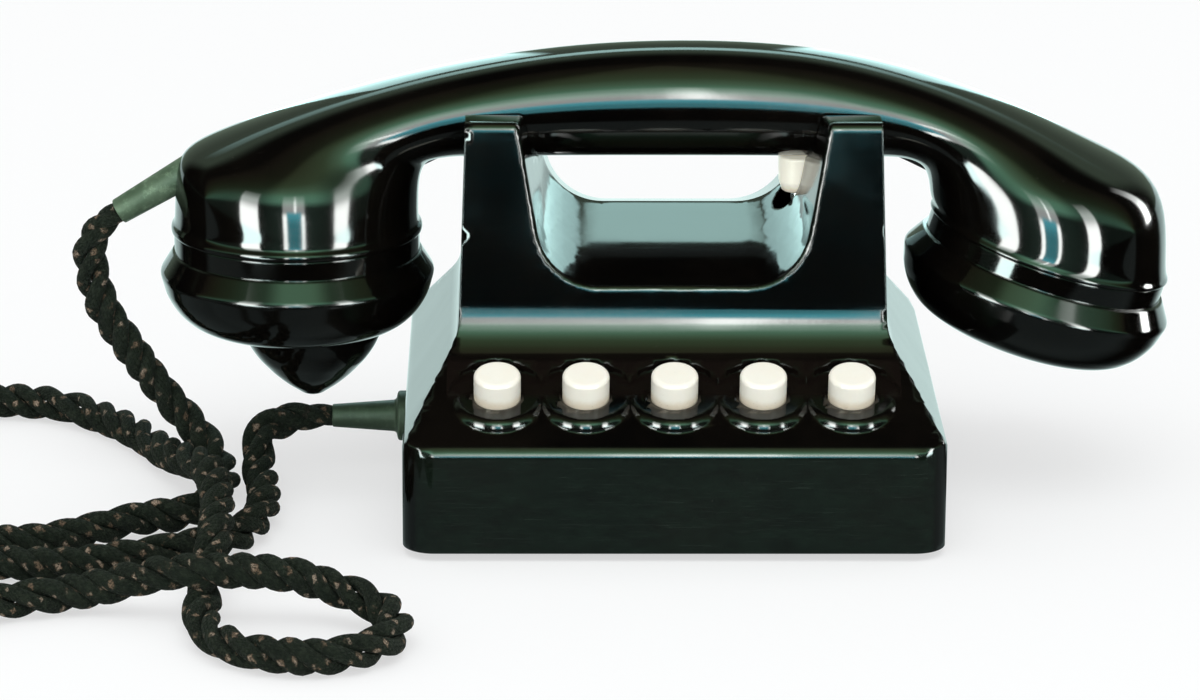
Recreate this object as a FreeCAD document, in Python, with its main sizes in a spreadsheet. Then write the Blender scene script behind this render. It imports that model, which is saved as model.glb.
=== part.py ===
import FreeCAD, Part
import Sketcher
import math
import os

# Intercom desk telephone of black moulded bakelite: a hollow base with five keys and a
# cradle, and a handset that lies across the cradle.
# Frame: X to the right seen from the front, Y towards the back, Z up.
# The origin is on the table, under the middle of the base. Lengths are in millimetres.

doc = FreeCAD.newDocument("DeskTelephone")
Vector = FreeCAD.Vector

driving = {
    # base housing
    "base_width": 127.0,
    "base_depth": 119.0,
    "base_corner": 7.5,
    "housing_bottom": 2.0,
    "housing_wall": 3.0,
    "panel_slope": 29.9,
    "panel_wall": 5.5,
    "bend_y": -27.8,
    "bend_z": 45.0,
    "bend_radius": 14.0,
    "plate_lean": 6.5,
    "back_bend_y": 37.4,
    "flank_bend_x": 50.7,
    "flank_bend_z": 45.6,
    "flank_top_x": 49.0,
    "flank_radius": 12.0,
    "edge_round": 2.6,
    "horn_top": 95.8,
    "back_horn_top": 90.0,
    "horn_round": 2.2,
    # trough between the horns
    "trough_corner_x": 30.1,
    "trough_lean": 10.3,
    "trough_radius": 15.0,
    "trough_crest_y": 13.5,
    "trough_crest_z": 66.8,
    "trough_slope": 14.0,
    "trough_back_inset": 3.0,
    "trough_edge_round": 1.4,
    # cradle and handset handle
    "cradle_y": 7.0,
    "handle_under": 80.6,
    "handle_height": 28.4,
    "handle_depth": 30.0,
    "handle_crown_x": 3.0,
    "crown_radius_mouth": 309.0,
    "crown_radius_ear": 200.0,
    "cradle_gap": 0.3,
    "cradle_radius": 17.6,
    # handset cups
    "mouth_x": -90.0,
    "mouth_rim_z": 61.8,
    "ear_x": 91.9,
    "ear_rim_z": 58.4,
    "ear_tilt": 17.0,
    "cup_radius": 29.3,
    "neck_radius": 12.0,
    "cup_bore": 25.5,
    "cup_bore_depth": 13.0,
    "thread_radius": 27.3,
    "thread_depth": 5.6,
    "thread_gap": 0.3,
    "ridge_radius": 33.0,
    "cap_wall": 2.2,
    "cap_depth": 24.0,
    "collar_depth": 5.0,
    "spout_x": -86.6,
    "spout_base_radius": 17.2,
    "spout_tip_z": 20.0,
    "spout_tip_radius": 2.0,
    "spout_wall": 1.8,
    "spout_mouth_z": 29.5,
    "spout_mouth_radius": 4.2,
    "channel_radius": 3.2,
    "channel_arc": 134.0,
    "lead_radius": 1.6,
    # keys
    "key_pitch": 20.7,
    "key_y": -44.1,
    "key_slope": 17.0,
    "key_cap_radius": 5.5,
    "key_cap_height": 6.4,
    "key_cap_foot": 4.6,
    "key_cap_round": 1.1,
    "seat_radius": 11.5,
    "seat_round": 2.4,
    "key_stem_radius": 2.2,
    "key_stem_length": 22.0,
    "key_collar_radius": 7.0,
    "key_collar_height": 1.1,
    "key_travel": 3.6,
    "stem_gap": 0.3,
    "frame_drop": 15.0,
    "frame_sheet": 1.2,
    "frame_end_gap": 9.3,
    "leaf_sheet": 0.4,
    # hook switch
    "hook_x": 30.8,
    "hook_bore": 6.0,
    "hook_knob_radius": 4.9,
    "hook_knob_height": 8.7,
    "hook_stem_radius": 1.7,
    "hook_stem_foot": 32.0,
    "hook_collar_z": 60.0,
    "hook_travel": 6.0,
    "bracket_top": 45.5,
    "bracket_sheet": 1.5,
    "lever_pivot_x": 12.0,
    "lever_pivot_z": 30.0,
    "lever_thick": 3.4,
    "pin_radius": 1.5,
    "pin_gap": 0.05,
    # floor of the base
    "plate_sheet": 1.4,
    "plate_rise": 0.6,
    "plate_gap": 0.3,
    "seat_gap": 0.05,
    "foot_inset_x": 15.5,
    "foot_inset_y": 13.5,
    "foot_radius": 7.0,
    "foot_stem_radius": 2.5,
    "boss_inset_x": 13.5,
    "boss_front_y": -10.0,
    "boss_back_y": 22.0,
    "boss_radius": 3.5,
    "boss_top": 40.0,
    "screw_radius": 1.45,
    "screw_gap": 0.05,
    "screw_head_radius": 2.8,
    # buzzer, induction coil, capacitor, terminals
    "buzzer_inset_x": 34.5,
    "buzzer_inset_y": 26.5,
    "buzzer_pitch": 16.0,
    "coil_radius": 7.2,
    "pole_radius": 2.5,
    "pole_top": 24.0,
    "induction_inset_x": 40.5,
    "induction_inset_y": 23.5,
    "induction_length": 38.6,
    "cheek_size": 18.0,
    "cheek_sheet": 1.6,
    "core_radius": 3.6,
    "capacitor_inset_x": 15.5,
    "capacitor_y": 6.0,
    "capacitor_width": 13.0,
    "capacitor_depth": 23.0,
    "capacitor_height": 22.0,
    "terminal_inset_x": 34.5,
    "terminal_pitch": 7.0,
    "terminal_top": 14.0,
    # cord
    "cord_radius": 3.5,
    "cord_floor_gap": 0.1,
    "sleeve_y": 7.6,
    "sleeve_z": 14.0,
    "sleeve_length": 18.5,
    "sleeve_radius": 3.85,
    "flange_radius": 6.1,
    "flange_thick": 2.4,
    "drop_sleeve_droop": 31.0,
    "drop_sleeve_length": 17.0,
    "drop_sleeve_x": -118.3,
    "drop_sleeve_z": 74.6,
    "drop_sleeve_radius": 4.0,
}

sheet = doc.addObject("Spreadsheet::Sheet", "Sizes")
for row, (alias, number) in enumerate(driving.items(), start=1):
    sheet.set("A" + str(row), alias)
    sheet.set("B" + str(row), repr(number))
    sheet.setAlias("B" + str(row), alias)
doc.recompute()


class Size(float):
    """A number that carries the sheet expression it is worked out by."""

    def __new__(cls, number, text):
        made = float.__new__(cls, number)
        made.text = text
        return made

    def __add__(self, other):
        return joined(float(self) + float(other), self, "+", other)

    def __radd__(self, other):
        return joined(float(other) + float(self), other, "+", self)

    def __sub__(self, other):
        return joined(float(self) - float(other), self, "-", other)

    def __rsub__(self, other):
        return joined(float(other) - float(self), other, "-", self)

    def __mul__(self, other):
        return joined(float(self) * float(other), self, "*", other)

    def __rmul__(self, other):
        return joined(float(other) * float(self), other, "*", self)

    def __truediv__(self, other):
        return joined(float(self) / float(other), self, "/", other)

    def __neg__(self):
        return joined(-float(self), 0.0, "-", self)


def text_of(value):
    if isinstance(value, Size):
        return value.text
    return "(" + repr(float(value)) + ")"


def joined(number, left, sign, right):
    return Size(number, "(" + text_of(left) + " " + sign + " " + text_of(right) + ")")


def sine(angle):
    return Size(math.sin(math.radians(angle)), "sin(" + text_of(angle) + ")")


def cosine(angle):
    return Size(math.cos(math.radians(angle)), "cos(" + text_of(angle) + ")")


def tangent(angle):
    return Size(math.tan(math.radians(angle)), "tan(" + text_of(angle) + ")")


class Sizes:
    """The driving sizes, read back from the sheet by name."""


S = Sizes()
for alias in driving:
    setattr(S, alias, Size(sheet.get(alias), "Sizes." + alias))


def bind(item, path, value):
    if isinstance(value, Size):
        item.setExpression(path, value.text)


def place(item, at=(0, 0, 0), axis=None, angle=0.0):
    turn = FreeCAD.Rotation()
    if axis is not None:
        turn = FreeCAD.Rotation(Vector(*axis), float(angle))
    item.Placement = FreeCAD.Placement(Vector(*[float(part) for part in at]), turn)
    for letter, value in zip("xyz", at):
        bind(item, "Placement.Base." + letter, value)
    if axis is not None:
        bind(item, "Placement.Rotation.Angle", angle)
    return item


def primitive(kind, name, at=(0, 0, 0), axis=None, angle=0.0, **values):
    item = doc.addObject("Part::" + kind, name)
    for key, value in values.items():
        setattr(item, key, float(value))
        bind(item, key, value)
    return place(item, at, axis, angle)


def fused(name, *pieces):
    item = doc.addObject("Part::MultiFuse", name)
    item.Shapes = list(pieces)
    return item


def common(name, *pieces):
    item = doc.addObject("Part::MultiCommon", name)
    item.Shapes = list(pieces)
    return item


def cut(name, base, *tools):
    item = doc.addObject("Part::Cut", name)
    item.Base = base
    item.Tool = tools[0] if len(tools) == 1 else fused(name + "_tools", *tools)
    return item


def group(name, pieces):
    item = doc.addObject("Part::Compound", name)
    item.Links = list(pieces)
    return item


def pin_point(sketch, geometry, x, y):
    for kind, value, axis in (("DistanceX", x, -2), ("DistanceY", y, -1)):
        if abs(float(value)) < 1e-9 and not isinstance(value, Size):
            sketch.addConstraint(Sketcher.Constraint("PointOnObject", geometry[0], geometry[1], axis))
            continue
        rule = Sketcher.Constraint(kind, -1, 1, geometry[0], geometry[1], float(value))
        number = sketch.addConstraint(rule)
        bind(sketch, "Constraints[" + str(number) + "]", value)


def draw_outline(sketch, points):
    first = sketch.GeometryCount
    count = len(points)
    for index, start in enumerate(points):
        end = points[(index + 1) % count]
        line = Part.LineSegment(Vector(*map(float, start), 0), Vector(*map(float, end), 0))
        sketch.addGeometry(line, False)
    for index in range(count):
        following = first + (index + 1) % count
        sketch.addConstraint(Sketcher.Constraint("Coincident", first + index, 2, following, 1))
    for index, (x, y) in enumerate(points):
        pin_point(sketch, (first + index, 1), x, y)


def draw_circle(sketch, x, y, radius):
    centre = Vector(float(x), float(y), 0)
    number = sketch.addGeometry(Part.Circle(centre, Vector(0, 0, 1), float(radius)), False)
    pin_point(sketch, (number, 3), x, y)
    rule = sketch.addConstraint(Sketcher.Constraint("Radius", number, float(radius)))
    bind(sketch, "Constraints[" + str(rule) + "]", radius)


def body_sketch(body, plane, name):
    sketch = body.newObject("Sketcher::SketchObject", name)
    for feature in body.Origin.OriginFeatures:
        if feature.Role == plane:
            sketch.AttachmentSupport = [(feature, "")]
    sketch.MapMode = "FlatFace"
    return sketch


def round_edges(body, name, radius, chosen):
    """Round the edges of the body's tip that chosen(edge) picks."""
    doc.recompute()
    base = body.Tip
    names = [
        "Edge" + str(number)
        for number, edge in enumerate(base.Shape.Edges, start=1)
        if chosen(edge)
    ]
    fillet = body.newObject("PartDesign::Fillet", name)
    fillet.Base = (base, names)
    fillet.Radius = float(radius)
    bind(fillet, "Radius", radius)
    return fillet


def ring_at(radius, height):
    """Pick the circular edge of a turned body with this radius and height."""

    def chosen(edge):
        curve = edge.Curve
        if not isinstance(curve, Part.Circle):
            return False
        level = abs(curve.Center.z - float(height)) < 1e-4
        return level and abs(curve.Radius - float(radius)) < 1e-4

    return chosen


def upright_edge(edge):
    box = edge.BoundBox
    return box.XLength < 1e-6 and box.YLength < 1e-6


def turned(name, profile, at=(0, 0, 0), axis=None, angle=0.0, rounds=()):
    """A body of revolution: profile is (radius, height) points round the body's Z axis."""
    body = doc.addObject("PartDesign::Body", name)
    sketch = body_sketch(body, "XZ_Plane", name + "_profile")
    draw_outline(sketch, profile)
    revolution = body.newObject("PartDesign::Revolution", name + "_turn")
    revolution.Profile = sketch
    revolution.ReferenceAxis = (sketch, ["V_Axis"])
    revolution.Angle = 360.0
    for number, (corner, radius) in enumerate(rounds):
        chosen = ring_at(*profile[corner])
        round_edges(body, name + "_round" + str(number), radius, chosen)
    return place(body, at, axis, angle)


def padded(name, plane, outline, length, at=(0, 0, 0), axis=None, angle=0.0, **more):
    """A body padded from one outline, with round holes if circles are given."""
    body = doc.addObject("PartDesign::Body", name)
    sketch = body_sketch(body, plane, name + "_outline")
    draw_outline(sketch, outline)
    for x, y, radius in more.get("circles", ()):
        draw_circle(sketch, x, y, radius)
    pad = body.newObject("PartDesign::Pad", name + "_pad")
    pad.Profile = sketch
    pad.Length = float(length)
    bind(pad, "Length", length)
    if more.get("both_ways"):
        pad.SideType = "Symmetric"
    if "corner" in more:
        round_edges(body, name + "_corners", more["corner"], upright_edge)
    return place(body, at, axis, angle)


def rectangle(x0, y0, x1, y1):
    return [(x0, y0), (x1, y0), (x1, y1), (x0, y1)]


def drill(body, name, plane, circles, length):
    """Pocket round holes into a body, both ways from the sketch plane."""
    doc.recompute()
    before = body.Shape.Volume
    sketch = body_sketch(body, plane, name + "_circles")
    for x, y, radius in circles:
        draw_circle(sketch, x, y, radius)
    pocket = body.newObject("PartDesign::Pocket", name)
    pocket.Profile = sketch
    pocket.Length = float(length)
    bind(pocket, "Length", length)
    pocket.SideType = "Symmetric"
    doc.recompute()
    if body.Shape.Volume > before - 1e-3:
        raise RuntimeError(name + " cuts nothing")


# Outlines with rounded corners, and walls set in from them

def corner_meet(before, point, after, wall_before, wall_after):
    """The corner of an outline set in by a wall thickness on each of its two sides."""
    lines = []
    for (x0, y0), (x1, y1), wall in ((before, point, wall_before), (point, after, wall_after)):
        length = math.hypot(x1 - x0, y1 - y0)
        across, up = (x1 - x0) / length, (y1 - y0) / length
        lines.append((across, up, x0 - up * wall, y0 + across * wall))
    (a0, b0, x0, y0), (a1, b1, x1, y1) = lines
    reach = ((x1 - x0) * b1 - (y1 - y0) * a1) / (a0 * b1 - b0 * a1)
    return (x0 + a0 * reach, y0 + b0 * reach)


def set_in(points, walls):
    """Points run anticlockwise; walls[i] is the inset of the side from point i to i + 1."""
    count = len(points)
    return [
        corner_meet(points[i - 1], points[i], points[(i + 1) % count], walls[i - 1], walls[i])
        for i in range(count)
    ]


def rounded_edges(points, radii, lift):
    """Straight lines and tangent arcs round the points; lift puts a 2-D point in space."""
    count = len(points)
    starts, ends, arcs = [], [], []
    for index in range(count):
        here = Vector(*map(float, points[index]), 0)
        back = Vector(*map(float, points[index - 1]), 0) - here
        ahead = Vector(*map(float, points[(index + 1) % count]), 0) - here
        back.normalize()
        ahead.normalize()
        half = back.getAngle(ahead) / 2
        radius = float(radii[index])
        reach = radius / math.tan(half)
        first = here + back * reach
        last = here + ahead * reach
        middle = (back + ahead).normalize()
        top = here + middle * (radius / math.sin(half) - radius)
        starts.append(first)
        ends.append(last)
        arcs.append(Part.Arc(lift(first), lift(top), lift(last)).toShape() if radius > 0 else None)
    edges = []
    for index in range(count):
        if arcs[index] is not None:
            edges.append(arcs[index])
        start, end = lift(ends[index]), lift(starts[(index + 1) % count])
        if start.distanceToPoint(end) > 1e-6:
            edges.append(Part.LineSegment(start, end).toShape())
    return edges


def drawn(name, points, radii, lift):
    """A wire in the plane of its points: a rounded outline."""
    edges = rounded_edges(points, radii, lift)
    feature = doc.addObject("Part::Feature", name)
    feature.Shape = Part.Wire(edges)
    return feature


def extruded(name, outline, direction, ahead, behind):
    item = doc.addObject("Part::Extrusion", name)
    item.Base = outline
    item.DirMode = "Custom"
    item.Dir = Vector(*direction)
    item.LengthFwd = float(ahead)
    item.LengthRev = float(behind)
    bind(item, "LengthFwd", ahead)
    bind(item, "LengthRev", behind)
    item.Solid = True
    return item


def in_side_view(point):
    return Vector(0, point.x, point.y)


def in_front_view(point):
    return Vector(point.x, 0, point.y)


# Housing: the side and front outlines of the base meet in one block

half_width = S.base_width / 2
half_depth = S.base_depth / 2
boss_x = half_width - S.boss_inset_x
foot_x = half_width - S.foot_inset_x
foot_y = half_depth - S.foot_inset_y
buzzer_x = S.buzzer_inset_x - half_width
buzzer_y = half_depth - S.buzzer_inset_y
induction_x = half_width - S.induction_inset_x
induction_y = half_depth - S.induction_inset_y
capacitor_x = half_width - S.capacitor_inset_x
terminal_x = S.terminal_inset_x - half_width
frame_half = half_width - S.housing_wall - S.frame_end_gap
key_lean = S.panel_slope - S.key_slope
block_top = S.bend_z - (half_depth + S.bend_y) * tangent(S.panel_slope)
horn_front_y = S.bend_y + (S.horn_top - S.bend_z) * tangent(S.plate_lean)
horn_back_y = S.back_bend_y - (S.back_horn_top - S.bend_z) * tangent(S.plate_lean)
plate_bottom = S.housing_bottom + S.plate_rise
plate_top = plate_bottom + S.plate_sheet
cavity_top = S.handle_under - 5.0

side_points = [
    (-half_depth, S.housing_bottom),
    (half_depth, S.housing_bottom),
    (half_depth, block_top),
    (S.back_bend_y, S.bend_z),
    (horn_back_y, S.back_horn_top),
    (horn_front_y, S.horn_top),
    (S.bend_y, S.bend_z),
    (-half_depth, block_top),
]
side_radii = [0, 0, S.edge_round, S.bend_radius, S.horn_round, S.horn_round, S.bend_radius, S.edge_round]
front_points = [
    (-half_width, S.housing_bottom),
    (half_width, S.housing_bottom),
    (half_width, block_top),
    (S.flank_bend_x, S.flank_bend_z),
    (S.flank_top_x, S.horn_top + 1.0),
    (-S.flank_top_x, S.horn_top + 1.0),
    (-S.flank_bend_x, S.flank_bend_z),
    (-half_width, block_top),
]
front_radii = [0, 0, S.edge_round, S.flank_radius, 0, 0, S.flank_radius, S.edge_round]


def plain(points):
    return [(float(x), float(y)) for x, y in points]


def rounded_block(name, grow, height, corner):
    box = primitive(
        "Box",
        name + "_box",
        at=(-(half_width + grow), -(half_depth + grow), S.housing_bottom),
        Length=(half_width + grow) * 2,
        Width=(half_depth + grow) * 2,
        Height=height,
    )
    doc.recompute()
    fillet = doc.addObject("Part::Fillet", name)
    fillet.Base = box
    numbers = [n for n, edge in enumerate(box.Shape.Edges, start=1) if upright_edge(edge)]
    fillet.Edges = [(n, float(corner), float(corner)) for n in numbers]
    return fillet


outer_side = extruded("housing_side", drawn("side_outline", side_points, side_radii, in_side_view),
                      (1, 0, 0), half_width, half_width)
outer_front = extruded("housing_front", drawn("front_outline", front_points, front_radii, in_front_view),
                       (0, 1, 0), half_depth, half_depth)
outer_block = rounded_block("housing_block", Size(0.0, "0"), S.horn_top, S.base_corner)
housing_outer = common("housing_outer", outer_side, outer_front, outer_block)

wall = float(S.housing_wall)
side_walls = [0, wall, wall, wall, wall, wall, float(S.panel_wall), wall]
side_inner = set_in(plain(side_points), side_walls)
front_inner = set_in(plain(front_points), [0, wall, wall, wall, wall, wall, wall, wall])


def level_cut(points, low, high, level):
    """Bring the two top points down their own sides to a level."""
    lowered = list(points)
    for top, foot in ((high[0], low[0]), (high[1], low[1])):
        (x0, y0), (x1, y1) = points[foot], points[top]
        lowered[top] = (x0 + (x1 - x0) * (level - y0) / (y1 - y0), level)
    return lowered


side_inner = level_cut(side_inner, (3, 6), (4, 5), float(cavity_top))
front_inner = level_cut(front_inner, (3, 6), (4, 5), float(cavity_top) + 1.0)
inner_side = extruded("cavity_side", drawn("cavity_side_outline", side_inner, [0] * 8, in_side_view),
                      (1, 0, 0), half_width - S.housing_wall, half_width - S.housing_wall)
inner_front = extruded("cavity_front", drawn("cavity_front_outline", front_inner, [0] * 8, in_front_view),
                       (0, 1, 0), half_depth - S.housing_wall, half_depth - S.housing_wall)
inner_block = rounded_block("cavity_block", -S.housing_wall, S.horn_top, S.base_corner - S.housing_wall)
cavity = common("cavity", inner_side, inner_front, inner_block)


def trough_station(name, y, inset, grow):
    """The U of the trough at one depth: its floor slopes down both ways from its crest."""
    drop = abs(y - float(S.trough_crest_y)) * float(tangent(S.trough_slope))
    floor_z = float(S.trough_crest_z) - drop - grow
    corner = float(S.trough_corner_x) - inset + grow
    top = float(S.horn_top) + 30.0
    spread = corner + (top - floor_z) * float(tangent(S.trough_lean))
    points = [(-corner, floor_z), (corner, floor_z), (spread, top), (-spread, top)]
    radius = float(S.trough_radius)
    wire = drawn(name, points, [radius, radius, 0, 0], lambda point: Vector(point.x, y, point.y))
    return wire


def trough(name, grow):
    past = float(trough_past)
    stations = (
        (float(S.bend_y) - past, 0.0),
        (float(S.trough_crest_y), float(S.trough_back_inset) / 2),
        (float(S.back_bend_y) + past, float(S.trough_back_inset)),
    )
    loft = doc.addObject("Part::Loft", name)
    loft.Sections = [
        trough_station(name + "_station" + str(number), y, inset, grow)
        for number, (y, inset) in enumerate(stations)
    ]
    loft.Solid = True
    loft.Ruled = True
    return loft


trough_past = 6.0
trough_cutter = trough("trough", 0.0)
trough_wall = trough("trough_wall", wall)
saddle_z = S.handle_under - S.cradle_gap + S.cradle_radius
saddle = primitive("Cylinder", "saddle", at=(-half_width, S.cradle_y, saddle_z),
                   axis=(0, 1, 0), angle=90.0, Radius=S.cradle_radius, Height=S.base_width)

# Key places: the middle of each key's seat on the sloping panel, and the keys' own directions.
# The keys lean less than the panel, so each round seat is let in at its back and stands proud in front.

key_z = S.bend_z + (S.key_y - S.bend_y) * tangent(S.panel_slope)
key_places = [(S.key_pitch * number, S.key_y, key_z) for number in (-2, -1, 0, 1, 2)]


def along_key(place_of_key, depth):
    x, y, z = place_of_key
    return (x, y - sine(S.key_slope) * depth, z + cosine(S.key_slope) * depth)


seat_pads, seat_tools = [], []
seat_depth = S.seat_radius * tangent(key_lean) + S.panel_wall / 2
hole_depth = S.panel_wall * 2 + 1.0
for number, key_place in enumerate(key_places, start=1):
    tag = str(number)
    seat_pads.append(turned("seat_pad_" + tag, [
        (0, -seat_depth), (S.seat_radius, -seat_depth), (S.seat_radius, 0), (0, 0),
    ], at=key_place, axis=(1, 0, 0), angle=S.key_slope, rounds=[(2, S.seat_round)]))
    seat_tools.append(primitive("Cylinder", "seat_recess_" + tag, at=key_place, axis=(1, 0, 0),
                                angle=S.key_slope, Radius=S.seat_radius, Height=seat_depth * 2))
    seat_tools.append(primitive("Cylinder", "key_hole_" + tag, at=along_key(key_place, -hole_depth),
                                axis=(1, 0, 0), angle=S.key_slope,
                                Radius=S.key_cap_radius + S.stem_gap, Height=hole_depth * 2))

hook_bore_tool = primitive("Cylinder", "hook_bore_tool", at=(S.hook_x, S.cradle_y, S.bend_z + 8.0),
                           Radius=S.hook_bore, Height=S.horn_top)
sleeve_hole_radius = S.sleeve_radius + 0.35
sleeve_hole = primitive("Cylinder", "sleeve_hole", at=(-half_width - 1.0, S.sleeve_y, S.sleeve_z),
                        axis=(0, 1, 0), angle=90.0, Radius=sleeve_hole_radius, Height=S.housing_wall + 2.0)
cavity_space = cut("cavity_space", cavity, trough_wall)

boss_places = [
    (side * boss_x, y) for side in (-1, 1) for y in (S.boss_front_y, S.boss_back_y)
]
bosses, boss_holes = [], []
for number, (x, y) in enumerate(boss_places):
    bosses.append(primitive("Cylinder", "boss_" + str(number), at=(x, y, plate_top + S.seat_gap),
                            Radius=S.boss_radius, Height=S.boss_top - plate_top))
    boss_holes.append(primitive("Cylinder", "boss_hole_" + str(number), at=(x, y, plate_bottom),
                                Radius=S.screw_radius + S.screw_gap, Height=14.0))

trough_open = cut("housing_troughed", housing_outer, trough_cutter)
doc.recompute()
trough_rim = [
    number for number, edge in enumerate(trough_open.Shape.Edges, start=1)
    if edge.BoundBox.YMax < float(S.trough_crest_y) - 25.0
    and edge.BoundBox.XMax < float(S.flank_top_x) - 5.0
    and edge.BoundBox.XMin > -float(S.flank_top_x) + 5.0
    and edge.BoundBox.ZMin > float(S.bend_z) + 4.0
]
rimmed = doc.addObject("Part::Fillet", "housing_rimmed")
rimmed.Base = trough_open
rimmed.Edges = [(number, float(S.trough_edge_round), float(S.trough_edge_round)) for number in trough_rim]
seated = fused("housing_seated", rimmed, *seat_pads)
walls_cut = cut("housing_walls", seated, saddle, cavity_space, hook_bore_tool, sleeve_hole, *seat_tools)
housing = cut("housing", fused("housing_bossed", walls_cut, *bosses), *boss_holes)

# Floor of the base: sheet steel plate, rubber feet and screws

foot_places = [(side * foot_x, end * foot_y) for side in (-1, 1) for end in (-1, 1)]
plate_holes = [(x, y, S.foot_stem_radius + 0.1) for x, y in foot_places]
plate_holes += [(x, y, S.screw_radius + 0.25) for x, y in boss_places]
sound_x, sound_y, sound_ring, sound_radius = -5.6, 34.0, 4.6, 1.3
for number in range(6):
    turn = number * 60.0
    plate_holes.append((sound_x + sound_ring * cosine(turn), sound_y + sound_ring * sine(turn), sound_radius))
plate_half_width = half_width - S.housing_wall - S.plate_gap
plate_half_depth = half_depth - S.housing_wall - S.plate_gap
base_plate = padded(
    "base_plate", "XY_Plane",
    rectangle(-plate_half_width, -plate_half_depth, plate_half_width, plate_half_depth),
    S.plate_sheet, at=(0, 0, plate_bottom), circles=plate_holes, corner=S.base_corner - S.housing_wall,
)

foot_top = plate_bottom - S.seat_gap
feet = []
for number, (x, y) in enumerate(foot_places):
    profile = [
        (0, 0), (S.foot_radius - 0.8, 0), (S.foot_radius, 0.8), (S.foot_radius, foot_top),
        (S.foot_stem_radius, foot_top), (S.foot_stem_radius, plate_top + 1.4),
        (S.foot_stem_radius - 0.8, plate_top + 2.2), (0, plate_top + 2.2),
    ]
    feet.append(turned("foot_" + str(number), profile, at=(x, y, 0)))
rubber_feet = group("rubber_feet", feet)

screws = []
for number, (x, y) in enumerate(boss_places):
    head_top = plate_bottom - S.seat_gap
    profile = [
        (0, head_top - 1.2), (S.screw_head_radius, head_top - 1.2), (S.screw_head_radius, head_top),
        (S.screw_radius, head_top), (S.screw_radius, plate_top + 8.0), (0, plate_top + 8.0),
    ]
    screws.append(turned("base_screw_" + str(number), profile, at=(x, y, 0), rounds=[(1, 0.5)]))
base_screws = group("base_screws", screws)

# Keys: ivory cap, steel stem with its stop collar, return spring

collar_top = -(S.panel_wall / cosine(key_lean) + S.key_collar_radius * tangent(key_lean) + S.stem_gap)
collar_foot = collar_top - S.key_collar_height
cap_crown = 1.9
socket = S.key_cap_height - cap_crown
spring_gap, spring_wall = 0.4, 1.0
for number, key_place in enumerate(key_places, start=1):
    tag = str(number)
    turned("button_cap_" + tag, [
        (0, socket), (S.key_stem_radius + S.seat_gap, socket),
        (S.key_stem_radius + S.seat_gap, -S.key_cap_foot), (S.key_cap_radius, -S.key_cap_foot),
        (S.key_cap_radius, S.key_cap_height), (0, S.key_cap_height),
    ], at=key_place, axis=(1, 0, 0), angle=S.key_slope, rounds=[(4, S.key_cap_round), (3, 0.5)])
    turned("key_stem_" + tag, [
        (0, -S.key_stem_length), (S.key_stem_radius, -S.key_stem_length),
        (S.key_stem_radius, collar_foot), (S.key_collar_radius, collar_foot),
        (S.key_collar_radius, collar_top), (S.key_stem_radius, collar_top),
        (S.key_stem_radius, socket - S.seat_gap), (0, socket - S.seat_gap),
    ], at=key_place, axis=(1, 0, 0), angle=S.key_slope)
    turned("key_spring_" + tag, [
        (S.key_stem_radius + spring_gap, -S.frame_drop + S.seat_gap),
        (S.key_stem_radius + spring_gap + spring_wall, -S.frame_drop + S.seat_gap),
        (S.key_stem_radius + spring_gap + spring_wall, collar_foot - S.seat_gap),
        (S.key_stem_radius + spring_gap, collar_foot - S.seat_gap),
    ], at=key_place, axis=(1, 0, 0), angle=S.key_slope)

# Key frame: a steel channel that hangs under the panel, with the contact springs below it

middle_key = key_places[2]
leg_top = Size(0.0, "0")
web_foot = -(S.frame_drop + S.frame_sheet)
frame_back = 12.0
frame_depth = 19.0
channel_outline = [
    (-frame_half, leg_top), (-frame_half, web_foot), (frame_half, web_foot), (frame_half, leg_top),
    (frame_half - S.frame_sheet, leg_top), (frame_half - S.frame_sheet, -S.frame_drop),
    (-frame_half + S.frame_sheet, -S.frame_drop), (-frame_half + S.frame_sheet, leg_top),
]


def up_panel(reach, depth):
    """A point in the middle plane: reach back along the seats and depth out of them, from the key line."""
    x, y, z = along_key(middle_key, depth)
    return (x, y + cosine(S.key_slope) * reach, z + sine(S.key_slope) * reach)


frame_form = padded("key_frame_form", "XZ_Plane", channel_outline, frame_depth, at=up_panel(frame_back, 0),
                    axis=(1, 0, 0), angle=S.key_slope)
drill(frame_form, "key_frame_holes", "XY_Plane",
      [(S.key_pitch * number, -frame_back, S.key_stem_radius + S.stem_gap) for number in (-2, -1, 0, 1, 2)],
      S.frame_drop * 3)
trim_reach = frame_depth * 2
trim_drop = S.panel_wall + S.seat_gap
panel_trim = primitive("Box", "panel_trim",
                       at=(-half_width,
                           S.key_y + sine(S.panel_slope) * trim_drop - cosine(S.panel_slope) * trim_reach,
                           key_z - cosine(S.panel_slope) * trim_drop - sine(S.panel_slope) * trim_reach),
                       axis=(1, 0, 0), angle=S.panel_slope,
                       Length=S.base_width, Width=trim_reach * 2, Height=S.frame_drop * 2)
key_frame = cut("key_frame", frame_form, panel_trim)

insulator_top = web_foot - S.seat_gap
leaf_top = -(S.key_stem_length + S.key_travel + 0.35)
key_insulator = padded("key_insulator", "XZ_Plane",
                       rectangle(-frame_half + 4.0, leaf_top, frame_half - 4.0, insulator_top),
                       6.0, at=up_panel(frame_back - 1.0, 0), axis=(1, 0, 0), angle=S.key_slope, corner=0.8)
leaves = []
for number in (-2, -1, 0, 1, 2):
    middle = S.key_pitch * number
    for side in (-1, 1):
        inner, outer = middle + side * 0.3, middle + side * 2.4
        low, high = (inner, outer) if side > 0 else (outer, inner)
        leaf_low = leaf_top - S.seat_gap - S.leaf_sheet
        leaves.append(padded(
            "leaf_" + str(number + 3) + ("b" if side > 0 else "a"), "XZ_Plane",
            rectangle(low, leaf_low, high, leaf_low + S.leaf_sheet),
            frame_back + 2.5, at=up_panel(frame_back - 1.5, 0), axis=(1, 0, 0), angle=S.key_slope))
contact_springs = group("contact_springs", leaves)

# Hook switch: ivory knob on a steel stem, return spring, lever on a pin, bracket and contacts

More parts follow.
